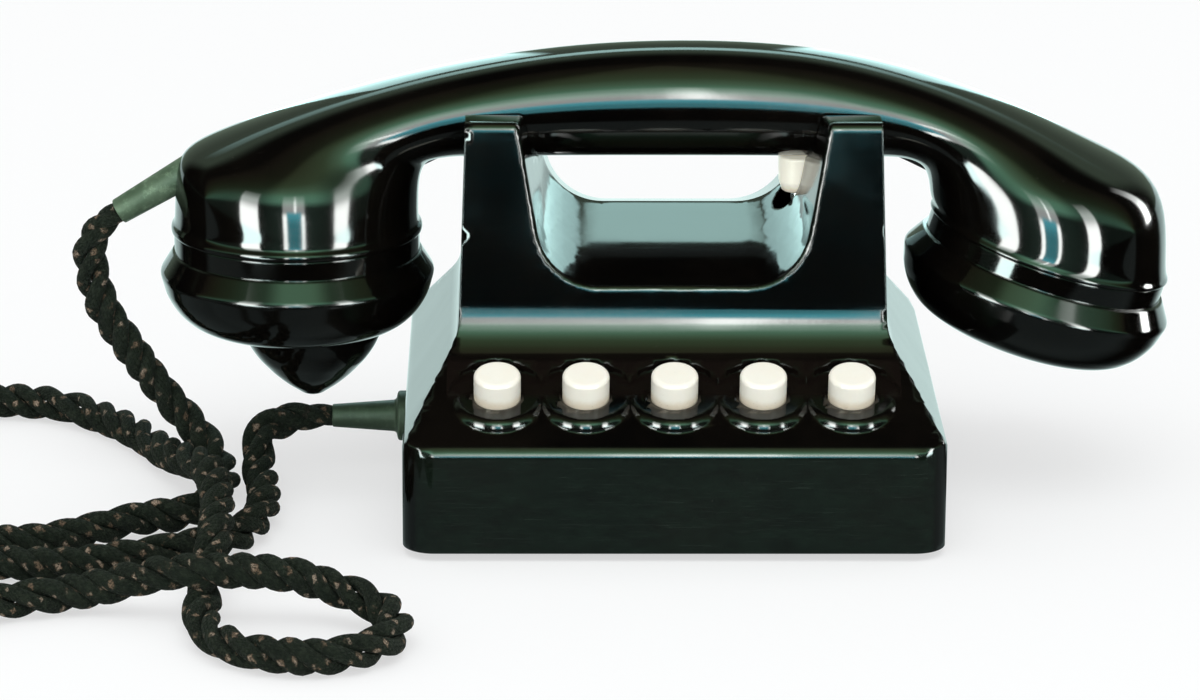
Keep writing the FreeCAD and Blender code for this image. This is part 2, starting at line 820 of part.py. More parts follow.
knob_foot = S.handle_under - S.cradle_gap - S.hook_knob_height
knob_socket = knob_foot + 2.4
hook_knob = turned("hook_knob", [
    (0, knob_socket), (S.hook_stem_radius + S.seat_gap, knob_socket),
    (S.hook_stem_radius + S.seat_gap, knob_foot), (S.hook_knob_radius - 1.0, knob_foot),
    (S.hook_knob_radius - 0.2, knob_foot + 2.6), (S.hook_knob_radius, knob_foot + S.hook_knob_height),
    (0, knob_foot + S.hook_knob_height),
], at=(S.hook_x, S.cradle_y, 0), rounds=[(5, 0.6), (3, 0.5)])
hook_stem = turned("hook_stem", [
    (0, S.hook_stem_foot), (S.hook_stem_radius, S.hook_stem_foot),
    (S.hook_stem_radius, S.hook_collar_z), (S.hook_stem_radius + 1.9, S.hook_collar_z),
    (S.hook_stem_radius + 1.9, S.hook_collar_z + 1.2), (S.hook_stem_radius, S.hook_collar_z + 1.2),
    (S.hook_stem_radius, knob_socket - S.seat_gap), (0, knob_socket - S.seat_gap),
], at=(S.hook_x, S.cradle_y, 0))
hook_spring = turned("hook_spring", [
    (S.hook_stem_radius + 0.5, S.bracket_top + S.seat_gap),
    (S.hook_stem_radius + 1.5, S.bracket_top + S.seat_gap),
    (S.hook_stem_radius + 1.5, S.hook_collar_z - S.seat_gap),
    (S.hook_stem_radius + 0.5, S.hook_collar_z - S.seat_gap),
], at=(S.hook_x, S.cradle_y, 0))

web_y = S.cradle_y + 6.0
bracket_foot = plate_top + S.seat_gap
bracket_front = S.cradle_y - 6.0
bracket_left = 7.0
bracket_right = S.hook_x + 7.2
hook_bracket = padded("hook_bracket", "YZ_Plane", [
    (bracket_front, bracket_foot), (web_y + S.bracket_sheet, bracket_foot),
    (web_y + S.bracket_sheet, S.bracket_top), (bracket_front, S.bracket_top),
    (bracket_front, S.bracket_top - S.bracket_sheet), (web_y, S.bracket_top - S.bracket_sheet),
    (web_y, bracket_foot + S.bracket_sheet), (bracket_front, bracket_foot + S.bracket_sheet),
], bracket_right - bracket_left, at=(bracket_left, 0, 0))
stem_hole_radius = S.hook_stem_radius + S.pin_gap
doc.recompute()
drill(hook_bracket, "bracket_stem_hole", "XY_Plane",
      [(S.hook_x - bracket_left, S.cradle_y, stem_hole_radius)], S.bracket_top * 2 + 2.0)
drill(hook_bracket, "bracket_pin_hole", "XZ_Plane",
      [(S.lever_pivot_x - bracket_left, S.lever_pivot_z, S.pin_radius + S.pin_gap)], S.base_depth)

lever_low = S.lever_pivot_z - S.lever_thick / 2
lever_high = S.lever_pivot_z + S.lever_thick / 2
lever_width = 4.0
hook_lever = padded("hook_lever", "XZ_Plane", [
    (S.lever_pivot_x - 9.0, lever_low), (S.lever_pivot_x - 3.2, lever_low - 1.0),
    (S.lever_pivot_x + 3.2, lever_low - 1.0), (S.lever_pivot_x + 7.0, lever_low),
    (S.hook_x + 3.0, lever_high - 1.8), (S.hook_x + 3.0, lever_high), (S.lever_pivot_x + 7.0, lever_high),
    (S.lever_pivot_x + 3.2, lever_high + 1.0), (S.lever_pivot_x - 3.2, lever_high + 1.0),
    (S.lever_pivot_x - 9.0, lever_high),
], lever_width, at=(0, S.cradle_y + lever_width / 2, 0),
    circles=[(S.lever_pivot_x, S.lever_pivot_z, S.pin_radius + S.pin_gap)])
pin_head_y = lever_width / 2 + 0.3
hook_pin = turned("hook_pin", [
    (0, -pin_head_y - 1.5), (S.pin_radius + 1.1, -pin_head_y - 1.5), (S.pin_radius + 1.1, -pin_head_y),
    (S.pin_radius, -pin_head_y), (S.pin_radius, pin_head_y), (S.pin_radius + 1.1, pin_head_y),
    (S.pin_radius + 1.1, web_y - S.cradle_y - S.seat_gap), (S.pin_radius, web_y - S.cradle_y - S.seat_gap),
    (S.pin_radius, web_y - S.cradle_y + S.bracket_sheet + 1.8), (0, web_y - S.cradle_y + S.bracket_sheet + 1.8),
], at=(S.lever_pivot_x, S.cradle_y, S.lever_pivot_z), axis=(1, 0, 0), angle=-90.0)

stack_left = S.lever_pivot_x - 24.0
stack_width = 8.0
upper_leaf = lever_low - 3.8
lower_leaf = upper_leaf - 2.5


def stack_block(name, foot, top):
    outline = rectangle(stack_left, S.cradle_y - 5.0, stack_left + stack_width, S.cradle_y + 5.0)
    return padded(name, "XY_Plane", outline, top - foot, at=(0, 0, foot), corner=0.8)


def stack_leaf(name, foot):
    outline = rectangle(stack_left, S.cradle_y - 2.0, S.lever_pivot_x - 4.0, S.cradle_y + 2.0)
    return padded(name, "XY_Plane", outline, S.leaf_sheet, at=(0, 0, foot))


hook_contacts = group("hook_contacts", [
    stack_leaf("upper_hook_leaf", upper_leaf), stack_leaf("lower_hook_leaf", lower_leaf)])
hook_insulators = group("hook_insulators", [
    stack_block("stack_foot", plate_top + S.seat_gap, lower_leaf - S.seat_gap),
    stack_block("stack_spacer", lower_leaf + S.leaf_sheet + S.seat_gap, upper_leaf - S.seat_gap)])

# Buzzer: two coils on one yoke, and a hinged armature over their poles

yoke_foot = plate_top + S.seat_gap
yoke_sheet = 1.5
pole_places = [(buzzer_x + side * S.buzzer_pitch / 2, buzzer_y) for side in (-1, 1)]
hinge_x = buzzer_x - S.buzzer_pitch / 2 - S.coil_radius - 3.0
armature_low = S.pole_top + 0.4
buzzer_yoke = padded("buzzer_yoke", "XZ_Plane", [
    (hinge_x, yoke_foot), (buzzer_x + S.buzzer_pitch, yoke_foot),
    (buzzer_x + S.buzzer_pitch, yoke_foot + yoke_sheet), (hinge_x + yoke_sheet, yoke_foot + yoke_sheet),
    (hinge_x + yoke_sheet, armature_low - 0.2), (hinge_x, armature_low - 0.2),
], 12.0, at=(0, buzzer_y, 0), both_ways=True)
poles, windings = [], []
for number, (x, y) in enumerate(pole_places):
    foot = yoke_foot + yoke_sheet + S.seat_gap
    poles.append(turned("pole_" + str(number), [
        (0, foot), (S.pole_radius, foot), (S.pole_radius, S.pole_top), (0, S.pole_top)], at=(x, y, 0)))
    inner = S.pole_radius + 0.1
    windings.append(turned("coil_" + str(number), [
        (inner, foot), (S.coil_radius, foot), (S.coil_radius, foot + 1.2), (S.coil_radius - 0.8, foot + 1.2),
        (S.coil_radius - 0.8, S.pole_top - 3.2), (S.coil_radius, S.pole_top - 3.2),
        (S.coil_radius, S.pole_top - 2.0), (inner, S.pole_top - 2.0)], at=(x, y, 0)))
buzzer_poles = group("buzzer_poles", poles)
buzzer_coils = group("buzzer_coils", windings)
buzzer_armature = padded("buzzer_armature", "XY_Plane",
                         rectangle(hinge_x, -5.5, buzzer_x + S.buzzer_pitch, 5.5), 1.5,
                         at=(0, buzzer_y, armature_low), corner=1.5)

# Induction coil, capacitor and terminal block

cheek_z = plate_top + S.seat_gap + S.cheek_size / 2
core_reach = S.induction_length / 2 + 2.0
cheeks = []
for side in (-1, 1):
    cheek_x = induction_x + side * (S.induction_length - S.cheek_sheet) / 2 - S.cheek_sheet / 2
    cheeks.append(padded("cheek_" + str(side + 1), "YZ_Plane",
                         rectangle(-S.cheek_size / 2, -S.cheek_size / 2, S.cheek_size / 2, S.cheek_size / 2),
                         S.cheek_sheet, at=(cheek_x, induction_y, cheek_z),
                         circles=[(0, 0, S.core_radius + 0.05)]))
coil_cheeks = group("coil_cheeks", cheeks)
coil_core = turned("coil_core", [
    (0, -core_reach), (S.core_radius, -core_reach), (S.core_radius, core_reach), (0, core_reach),
], at=(induction_x, induction_y, cheek_z), axis=(0, 1, 0), angle=90.0, rounds=[(1, 0.5), (2, 0.5)])
winding_reach = S.induction_length / 2 - S.cheek_sheet - S.seat_gap
coil_winding = turned("coil_winding", [
    (S.core_radius + 0.1, -winding_reach), (S.cheek_size / 2 - 1.2, -winding_reach),
    (S.cheek_size / 2 - 1.2, winding_reach), (S.core_radius + 0.1, winding_reach),
], at=(induction_x, induction_y, cheek_z), axis=(0, 1, 0), angle=90.0)

can_foot = plate_top + S.seat_gap
can_half_width = S.capacitor_width / 2
can_half_depth = S.capacitor_depth / 2
capacitor = padded("capacitor", "XY_Plane",
                   rectangle(-can_half_width, -can_half_depth, can_half_width, can_half_depth),
                   S.capacitor_height, at=(capacitor_x, S.capacitor_y, can_foot), corner=2.0)

block_half = S.terminal_pitch * 2 + 0.5
terminal_places = [(terminal_x, S.terminal_pitch * step) for step in (-1.5, -0.5, 0.5, 1.5)]
terminal_block = padded("terminal_block", "XY_Plane",
                        rectangle(terminal_x - 5.0, -block_half, terminal_x + 5.0, block_half),
                        S.terminal_top - plate_top - S.seat_gap, at=(0, 0, plate_top + S.seat_gap),
                        circles=[(x, y, S.screw_radius + S.screw_gap) for x, y in terminal_places], corner=1.2)
terminals = []
for number, (x, y) in enumerate(terminal_places):
    head = S.terminal_top + S.seat_gap
    terminals.append(turned("terminal_" + str(number), [
        (0, plate_top + 2.0), (S.screw_radius, plate_top + 2.0), (S.screw_radius, head),
        (S.screw_head_radius - 0.4, head), (S.screw_head_radius - 0.4, head + 1.6), (0, head + 1.6),
    ], at=(x, y, 0), rounds=[(4, 0.5)]))
terminal_screws = group("terminal_screws", terminals)


# Tubes along routes of straight runs and tangent arcs

def route_wire(points):
    """Straight runs joined by arcs as large as the two runs allow; returns wire and radii."""
    spots = [Vector(*map(float, point)) for point in points]
    edges, radii = [], []
    start = spots[0]
    for index in range(1, len(spots) - 1):
        back, here, ahead = spots[index - 1], spots[index], spots[index + 1]
        reach = 0.45 * min(here.distanceToPoint(back), here.distanceToPoint(ahead))
        inward = (back - here).normalize()
        onward = (ahead - here).normalize()
        half_turn = (math.pi - inward.getAngle(onward)) / 2
        radius = reach / math.tan(half_turn)
        first, last = here + inward * reach, here + onward * reach
        sag = radius / math.cos(half_turn) - radius
        top = here + (inward + onward).normalize() * sag
        edges.append(Part.LineSegment(start, first).toShape())
        edges.append(Part.Arc(first, top, last).toShape())
        radii.append(radius)
        start = last
    edges.append(Part.LineSegment(start, spots[-1]).toShape())
    return Part.Wire(edges), radii


def tube(name, points, radius):
    path, radii = route_wire(points)
    begin = Vector(*map(float, points[0]))
    heading = Vector(*map(float, points[1])) - begin
    ring = Part.Wire(Part.Circle(begin, heading, float(radius)).toShape())
    shape = path.makePipeShell([ring], True, True)
    if shape.Volume < 0:
        shape.reverse()
    item = doc.addObject("Part::Feature", name)
    item.Shape = Part.Solid(shape.Shells[0])
    due = math.pi * float(radius) ** 2 * path.Length
    print(name, "length", round(path.Length, 1), "volume", round(item.Shape.Volume, 1), "of", round(due, 1))
    if radii:
        print("   bend radii", [round(bend, 1) for bend in radii])
    return item


# Base cord sleeve: moulded rubber, held in the left wall by its two flanges

cord_sleeve = turned("cord_sleeve", [
    (0, -S.housing_wall - S.seat_gap - 2.0), (S.flange_radius - 0.6, -S.housing_wall - S.seat_gap - 2.0),
    (S.flange_radius - 0.6, -S.housing_wall - S.seat_gap), (S.sleeve_radius + 0.15, -S.housing_wall - S.seat_gap),
    (S.sleeve_radius + 0.15, S.seat_gap), (S.flange_radius, S.seat_gap), (S.flange_radius, S.flange_thick),
    (S.sleeve_radius, S.flange_thick + 0.6), (S.sleeve_radius * 0.72, S.sleeve_length), (0, S.sleeve_length),
], at=(-half_width, S.sleeve_y, S.sleeve_z), axis=(0, 1, 0), angle=-90.0)

lead_start_x = -half_width + S.housing_wall + S.seat_gap * 2 + 2.0
lead_end_x = terminal_x - S.screw_head_radius - 0.5
lead_z = S.terminal_top + 0.9
leads = []
for number, (x, y) in enumerate(terminal_places[1:], start=0):
    fan = S.sleeve_y + (number - 1) * 2.2
    leads.append(tube("lead_" + str(number), [
        (lead_start_x, fan, S.sleeve_z), (lead_start_x + 7.0, fan, S.sleeve_z),
        (lead_end_x - 8.0, y, lead_z + 1.6), (lead_end_x - 3.6, y, lead_z), (lead_end_x, y, lead_z),
    ], 0.7))
base_leads = group("base_leads", leads)

# Handset: sections turn from the round mouth cup, along the handle, to the round ear cup

neck_mouth_x = S.mouth_x + S.cup_radius + S.neck_radius
neck_ear_x = 51.6
crown_z = S.handle_under + S.handle_height


def crown_height(x):
    """Height of the handle's back: two arcs that meet at the crown."""
    radius = S.crown_radius_mouth if x < S.handle_crown_x else S.crown_radius_ear
    run = x - float(S.handle_crown_x)
    return float(crown_z) - float(radius) + math.sqrt(float(radius) ** 2 - run ** 2)


def section(name, inner, outer, half_depth_here):
    """An oval section, begun at its point on the handle's back, in four quarter arcs."""
    (x0, z0), (x1, z1) = inner, outer
    centre = Vector((x0 + x1) / 2, float(S.cradle_y), (z0 + z1) / 2)
    long_way = Vector(x1 - x0, 0, z1 - z0) * 0.5
    side_way = Vector(0, half_depth_here, 0)
    normal = long_way.cross(side_way).normalize()
    spread = FreeCAD.Matrix(long_way, side_way, normal, centre)
    quarters = []
    for step in range(4):
        turns = [math.radians(90.0 * step + part) for part in (0.0, 45.0, 90.0)]
        spots = [Vector(math.cos(turn), math.sin(turn), 0) for turn in turns]
        quarters.append(Part.Arc(*spots).toShape().transformGeometry(spread))
    feature = doc.addObject("Part::Feature", name)
    feature.Shape = Part.Wire(quarters)
    return feature


def ear_point(x, height):
    """A point of the ear cup's own upright plane, put in place and tilted."""
    lean = math.radians(float(S.ear_tilt))
    across, up = math.cos(lean), math.sin(lean)
    return (float(S.ear_x) + x * across + height * up, float(S.ear_rim_z) - x * up + height * across)


def neck_point(x, side, turn):
    """A point of the small arc where a cup's inner side turns under the handle."""
    angle = math.radians(turn)
    centre_z = float(S.handle_under - S.neck_radius)
    reach = float(S.neck_radius)
    return (float(x) - side * reach * math.cos(angle), centre_z + reach * math.sin(angle))


cup = float(S.cup_radius)
half_handle = float(S.handle_depth) / 2
mouth_left = float(S.mouth_x) - cup
mouth_right = float(S.mouth_x) + cup
rim = float(S.mouth_rim_z)
mouth_stations = [
    ((mouth_right, rim), (mouth_left, rim), cup),
    ((mouth_right, rim + 3.0), (mouth_left, rim + 4.5), cup - 0.1),
    (neck_point(neck_mouth_x, 1, 0), (mouth_left + 0.2, rim + 12.0), cup - 0.6),
    (neck_point(neck_mouth_x, 1, 20), (mouth_left + 1.4, rim + 19.4), cup - 1.6),
    (neck_point(neck_mouth_x, 1, 38), (mouth_left + 7.0, crown_height(mouth_left + 7.0) - 1.6), cup - 3.1),
    (neck_point(neck_mouth_x, 1, 52), (mouth_left + 19.0, crown_height(mouth_left + 19.0)), 23.8),
    (neck_point(neck_mouth_x, 1, 64), (mouth_left + 34.0, crown_height(mouth_left + 34.0)), 20.6),
    (neck_point(neck_mouth_x, 1, 76), (mouth_left + 50.0, crown_height(mouth_left + 50.0)), 17.4),
    (neck_point(neck_mouth_x, 1, 86), (mouth_left + 65.0, crown_height(mouth_left + 65.0)), 15.3),
]
handle_stations = [
    ((x, float(S.handle_under)), (x, crown_height(x)), half_handle)
    for x in (-36.0, -18.0, 2.0, 22.0, 38.0)
]
ear_stations = [
    (neck_point(neck_ear_x, -1, 84), (54.0, crown_height(54.0)), 15.3),
    (neck_point(neck_ear_x, -1, 72), (70.0, crown_height(70.0)), 17.8),
    (neck_point(neck_ear_x, -1, 58), (87.0, crown_height(87.0)), 22.0),
    (neck_point(neck_ear_x, -1, 42), (103.0, crown_height(103.0) - 0.6), 25.6),
    (neck_point(neck_ear_x, -1, 24), (114.0, 75.2), 28.2),
    (neck_point(neck_ear_x, -1, 6), (119.6, 66.2), cup - 0.1),
    (ear_point(-cup, 0.0), ear_point(cup, 0.0), cup),
]
stations = mouth_stations + handle_stations + ear_stations
handle_form = doc.addObject("Part::Loft", "handle_form")
handle_form.Sections = [
    section("handset_section_" + str(number), inner, outer, width)
    for number, (inner, outer, width) in enumerate(stations, start=1)
]
handle_form.Solid = True
handle_form.Ruled = False


def on_mouth(height, x=0.0):
    return (S.mouth_x + x, S.cradle_y, S.mouth_rim_z + height)


def on_ear(height):
    return (S.ear_x + sine(S.ear_tilt) * height, S.cradle_y, S.ear_rim_z + cosine(S.ear_tilt) * height)


def cup_cavity(name, at, angle):
    return turned(name, [
        (0, -2.0), (S.thread_radius, -2.0), (S.thread_radius, S.thread_depth), (S.cup_bore, S.thread_depth),
        (S.cup_bore, S.cup_bore_depth), (S.cup_bore * 0.5, S.cup_bore_depth + 7.0), (0, S.cup_bore_depth + 7.0),
    ], at=at, axis=(0, 1, 0), angle=angle)


channel_z = S.handle_under + S.handle_height / 2 - S.channel_arc
channel = primitive("Torus", "channel", at=(0, S.cradle_y, channel_z), axis=(1, 0, 0), angle=90.0,
                    Radius1=S.channel_arc, Radius2=S.channel_radius)
droop_turn = -(S.drop_sleeve_droop + 90.0)
drop_sleeve_at = (S.drop_sleeve_x, S.cradle_y, S.drop_sleeve_z)
drop_hole = primitive("Cylinder", "drop_hole",
                      at=(S.drop_sleeve_x + cosine(S.drop_sleeve_droop) * 7.0, S.cradle_y,
                          S.drop_sleeve_z + sine(S.drop_sleeve_droop) * 7.0),
                      axis=(0, 1, 0), angle=droop_turn, Radius=S.drop_sleeve_radius + 0.2, Height=20.0)
handset_shell = cut("handset_shell", handle_form, cup_cavity("mouth_cavity", on_mouth(0.0), 0.0),
                    cup_cavity("ear_cavity", on_ear(0.0), S.ear_tilt), channel, drop_hole)

# Caps that screw into the cups: collar, ridge and bowl turned in one

seat = S.seat_gap * 2
spigot = S.thread_radius - S.thread_gap
bowl_foot = -S.cap_depth
inner_radius = S.cup_bore - 0.7
ridge_z = -(S.collar_depth + 4.8)


def cap_profile(ridge):
    """Half outline of a cap: heights run down from the rim of its cup."""
    return [
        (0, bowl_foot), (ridge - 8.6, bowl_foot), (ridge - 1.8, bowl_foot + 6.6), (ridge, ridge_z - 0.9),
        (ridge, ridge_z), (ridge - 3.0, -S.collar_depth), (S.cup_radius + 0.3, -S.collar_depth),
        (S.cup_radius + 0.3, -seat), (spigot, -seat), (spigot, S.thread_depth - 0.6),
        (inner_radius, S.thread_depth - 0.6), (inner_radius, bowl_foot + 6.0),
        (inner_radius - 3.6, bowl_foot + S.cap_wall), (0, bowl_foot + S.cap_wall),
    ]


cap_edge_round = 0.8
cap_bowl_round = 11.0
mouth_cap = turned("mouth_cap", cap_profile(S.ridge_radius), at=on_mouth(0.0),
                   rounds=[(4, cap_edge_round), (1, cap_bowl_round), (2, cap_bowl_round)])
cap_floor_z = S.mouth_rim_z - S.cap_depth
spout_height = cap_floor_z - S.spout_tip_z


def spout_form(name, narrow, lift, top):
    """The spout swells from its tip to the floor of the cap; narrow and lift set its inside in."""
    return turned(name, [
        (0, lift), (S.spout_tip_radius - narrow, lift),
        (S.spout_base_radius * 0.49 - narrow, spout_height * 0.24 + lift),
        (S.spout_base_radius * 0.85 - narrow, spout_height * 0.62 + lift),
        (S.spout_base_radius - narrow, spout_height * 0.94 + lift),
        (S.spout_base_radius - narrow, top), (0, top),
    ], at=(S.spout_x, S.cradle_y, S.spout_tip_z), rounds=[(2, 9.0), (3, 9.0)])


spout = spout_form("spout", Size(0.0, "0"), Size(0.0, "0"), spout_height + S.cap_wall / 2)
spout_inner = spout_form("spout_inner", S.spout_wall * 0.8, S.spout_wall, spout_height + S.cap_wall + 1.0)
spout_mouth = primitive("Cylinder", "spout_mouth", at=(S.spout_x, S.cradle_y, S.spout_mouth_z),
                        axis=(1, 0, 0), angle=-90.0, Radius=S.spout_mouth_radius, Height=S.spout_base_radius)
mouthpiece_cap = cut("mouthpiece_cap", fused("mouth_cap_spouted", mouth_cap, spout), spout_inner, spout_mouth)

ear_cap = turned("ear_cap", cap_profile(S.ridge_radius + 0.4), at=on_ear(0.0),
                 axis=(0, 1, 0), angle=S.ear_tilt,
                 rounds=[(4, cap_edge_round), (1, cap_bowl_round), (2, cap_bowl_round)])


def ear_hole(name, x, y, radius):
    base_x, base_y, base_z = on_ear(-S.cap_depth - 2.0)
    return primitive("Cylinder", name, at=(base_x + cosine(S.ear_tilt) * x, base_y + y,
                                           base_z - sine(S.ear_tilt) * x),
                     axis=(0, 1, 0), angle=S.ear_tilt, Radius=radius, Height=S.cap_wall + 6.0)


ear_holes = [ear_hole("ear_hole_0", 0.0, 0.0, Size(2.4, "2.4"))]
for number in range(6):
    turn = math.radians(60.0 * number)
    ear_holes.append(ear_hole("ear_hole_" + str(number + 1), 9.0 * math.cos(turn), 9.0 * math.sin(turn),
                              Size(1.7, "1.7")))
receiver_cap = cut("receiver_cap", ear_cap, *ear_holes)

# Transmitter capsule and contact discs

capsule_radius = inner_radius - S.thread_gap
capsule_foot = bowl_foot + 6.6
transmitter_capsule = turned("transmitter_capsule", [
    (0, capsule_foot), (capsule_radius - 3.0, capsule_foot), (capsule_radius, capsule_foot + 3.0),
    (capsule_radius, -8.0), (capsule_radius - 4.0, -6.2), (0, -6.2),
], at=on_mouth(0.0))


def contact_disc(name, at, angle, reach):
    disc_radius = S.cup_bore - S.thread_gap
    low = S.thread_depth + 0.4
    return turned(name, [
        (0, -reach), (3.0, -reach), (3.0, low), (disc_radius, low), (disc_radius, low + 2.0), (0, low + 2.0),
    ], at=at, axis=(0, 1, 0), angle=angle)


transmitter_contacts = contact_disc("transmitter_contacts", on_mouth(0.0), 0.0, 6.2 - S.thread_gap)
receiver_contacts = contact_disc("receiver_contacts", on_ear(0.0), S.ear_tilt, 1.6 - S.thread_gap)

# Receiver: steel case with a magnet, two coils on its poles and a diaphragm

case_top = -1.6
case_foot = bowl_foot + 8.0
receiver_case = turned("receiver_case", [
    (capsule_radius - 1.4, case_foot), (capsule_radius, case_foot), (capsule_radius, case_top),
    (0, case_top), (0, case_top - 1.4), (capsule_radius - 1.4, case_top - 1.4),
], at=on_ear(0.0), axis=(0, 1, 0), angle=S.ear_tilt)
diaphragm = turned("diaphragm", [
    (0, case_foot - 0.4), (capsule_radius, case_foot - 0.4), (capsule_radius, case_foot - seat),
    (0, case_foot - seat),
], at=on_ear(0.0), axis=(0, 1, 0), angle=S.ear_tilt)
magnet_top = case_top - 1.4 - S.seat_gap
magnet_half = 13.0
receiver_magnet = padded("receiver_magnet", "XZ_Plane", [
    (-magnet_half, magnet_top - 4.6), (-5.0 - 3.0, magnet_top - 4.6), (-8.0, case_foot + 1.2), (-5.0, case_foot + 1.2),
    (-5.0, magnet_top - 4.6), (5.0, magnet_top - 4.6), (5.0, case_foot + 1.2), (8.0, case_foot + 1.2),
    (8.0, magnet_top - 4.6), (magnet_half, magnet_top - 4.6), (magnet_half, magnet_top), (-magnet_half, magnet_top),
], 6.0, at=on_ear(0.0), axis=(0, 1, 0), angle=S.ear_tilt, both_ways=True)
bobbins = []
for side in (-1, 1):
    x = side * 6.5
    coil_low = case_foot + 2.0
    coil_high = magnet_top - 4.6 - S.seat_gap
    outline = rectangle(x - 3.6, -5.2, x + 3.6, 5.2)
    centre = on_ear(coil_low)
    bobbin = padded("bobbin_" + str(side + 1), "XY_Plane", outline, coil_high - coil_low,
                    at=centre, axis=(0, 1, 0), angle=S.ear_tilt, corner=1.6)
    slot = body_sketch(bobbin, "XY_Plane", "bobbin_slot_" + str(side + 1))
    draw_outline(slot, rectangle(x - 1.6, -3.1, x + 1.6, 3.1))
    pocket = bobbin.newObject("PartDesign::Pocket", "bobbin_core_" + str(side + 1))
    pocket.Profile = slot
    pocket.Length = 60.0
    pocket.SideType = "Symmetric"
    bobbins.append(bobbin)
receiver_coils = group("receiver_coils", bobbins)

# Handset lead through the handle, and the sleeve where the cord comes out

lead_half = 30.5
lead_drop = S.channel_radius - S.lead_radius - S.seat_gap
handset_lead = primitive("Torus", "handset_lead", Radius1=S.channel_arc, Radius2=S.lead_radius)
handset_lead.Angle3 = lead_half * 2
handset_lead.Placement = FreeCAD.Placement(
    Vector(0, float(S.cradle_y), float(channel_z - lead_drop)),
    FreeCAD.Rotation(Vector(1, 0, 0), 90.0) * FreeCAD.Rotation(Vector(0, 0, 1), 90.0 - lead_half))
handset_sleeve = turned("handset_sleeve", [
    (0, -6.0), (S.drop_sleeve_radius, -6.0), (S.drop_sleeve_radius, 3.0),
    (S.drop_sleeve_radius * 0.79, S.drop_sleeve_length), (0, S.drop_sleeve_length),
], at=drop_sleeve_at, axis=(0, 1, 0), angle=droop_turn)

# Cord: one length of textile cord from the handset to the base, the route chosen by hand.
# It drops from the handset, runs out to the left, comes back over itself, makes the loop in
# front, runs out to the left again and comes back to the sleeve in the base.

low_z = float(S.cord_radius + S.cord_floor_gap)
over_z = low_z + 8.2
drop_x = float(S.drop_sleeve_x - cosine(S.drop_sleeve_droop) * (S.drop_sleeve_length + S.seat_gap))
drop_z = float(S.drop_sleeve_z - sine(S.drop_sleeve_droop) * (S.drop_sleeve_length + S.seat_gap))
hang_y = float(S.cradle_y)
landing = (-107.7, -16.0, low_z)
drop_route = [
    (drop_x, hang_y, drop_z),
    (-141.0, hang_y, 61.0),
    (-139.0, 6.9, 44.0),
    (-127.5, 6.5, 26.0),
    (-115.0, 4.8, 10.5),
    (-107.8, -6.0, low_z),
    landing,
]
base_end = (float(-half_width - S.sleeve_length - S.seat_gap), float(S.sleeve_y), float(S.sleeve_z))
floor_route = [
    landing,
    (-107.6, -26.0, low_z),
    (-113.5, -37.5, low_z),
    (-126.5, -41.5, low_z),
    (-138.0, -52.0, low_z),
    (-152.0, -60.0, low_z),
    (-174.0, -57.0, low_z),
    (-200.0, -50.0, low_z),
    (-219.0, -29.0, low_z),
    (-221.0, 3.0, low_z),
    (-205.0, 34.0, low_z),
    (-177.0, 50.0, low_z),
    (-151.0, 47.5, low_z),
    (-133.0, 27.0, low_z),
    (-124.5, 9.0, low_z),
    (-117.0, -9.0, low_z + 3.6),
    (-110.5, -27.0, over_z),
    (-106.0, -53.0, over_z),
    (-106.0, -77.5, low_z + 7.8),
    (-107.0, -91.0, low_z),
    (-107.5, -113.0, low_z),
    (-100.0, -128.0, low_z),
    (-85.0, -134.5, low_z),
    (-70.0, -131.0, low_z),
    (-62.0, -117.5, low_z),
    (-67.5, -104.0, low_z + 1.4),
    (-80.0, -100.0, low_z + 4.9),
    (-90.0, -101.0, low_z + 8.0),
    (-107.0, -99.0, low_z + 8.0),
    (-119.5, -96.0, low_z + 5.4),
    (-132.5, -92.5, low_z + 0.8),
    (-146.5, -96.0, low_z),
    (-163.5, -102.5, low_z),
    (-184.0, -113.5, low_z),
    (-206.0, -115.5, low_z),
    (-225.0, -106.0, low_z),
    (-232.5, -87.0, low_z),
    (-223.5, -69.0, low_z),
    (-203.0, -65.5, low_z),
    (-180.0, -71.5, low_z),
    (-158.0, -71.5, low_z),
    (-138.5, -75.0, low_z),
    (-120.0, -65.5, low_z),
    (-104.0, -57.5, low_z),
    (-97.6, -43.0, low_z),
    (-97.0, -24.0, low_z),
    (-99.6, -8.0, low_z + 1.0),
    (-99.0, base_end[1], base_end[2]),
    base_end,
]
cord_drop = tube("cord_drop", drop_route, S.cord_radius)
cord_floor = tube("cord_floor", floor_route, S.cord_radius)

# Every object is checked, then each sub-part is written to its own file

nodes = [
    housing, base_plate, rubber_feet, base_screws, key_frame, key_insulator, contact_springs,
    hook_knob, hook_stem, hook_spring, hook_bracket, hook_lever, hook_pin, hook_contacts, hook_insulators,
    buzzer_yoke, buzzer_poles, buzzer_coils, buzzer_armature, coil_cheeks, coil_core, coil_winding,
    capacitor, terminal_block, terminal_screws, base_leads, cord_sleeve,
    handset_shell, mouthpiece_cap, transmitter_capsule, transmitter_contacts,
    receiver_cap, receiver_case, diaphragm, receiver_magnet, receiver_coils, receiver_contacts,
    handset_lead, handset_sleeve, cord_drop, cord_floor,
]
for number in range(1, len(key_places) + 1):
    for stem in ("button_cap_", "key_stem_", "key_spring_"):
        nodes.append(doc.getObject(stem + str(number)))

doc.recompute()
for item in doc.Objects:
    if "Invalid" in item.State or "Error" in item.State:
        raise RuntimeError(item.Name + " failed: " + str(item.State))
for item in nodes:
    if item.Shape.isNull() or not item.Shape.isValid() or not item.Shape.Solids:
        raise RuntimeError(item.Label + " has no valid solid")

os.makedirs("parts", exist_ok=True)
for item in nodes:
    item.Shape.exportStep("parts/" + item.Label + ".step")
print(len(nodes), "sub-parts written")
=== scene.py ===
import math
import numpy as np

import bmesh
import bpy
from mathutils import Matrix, Vector


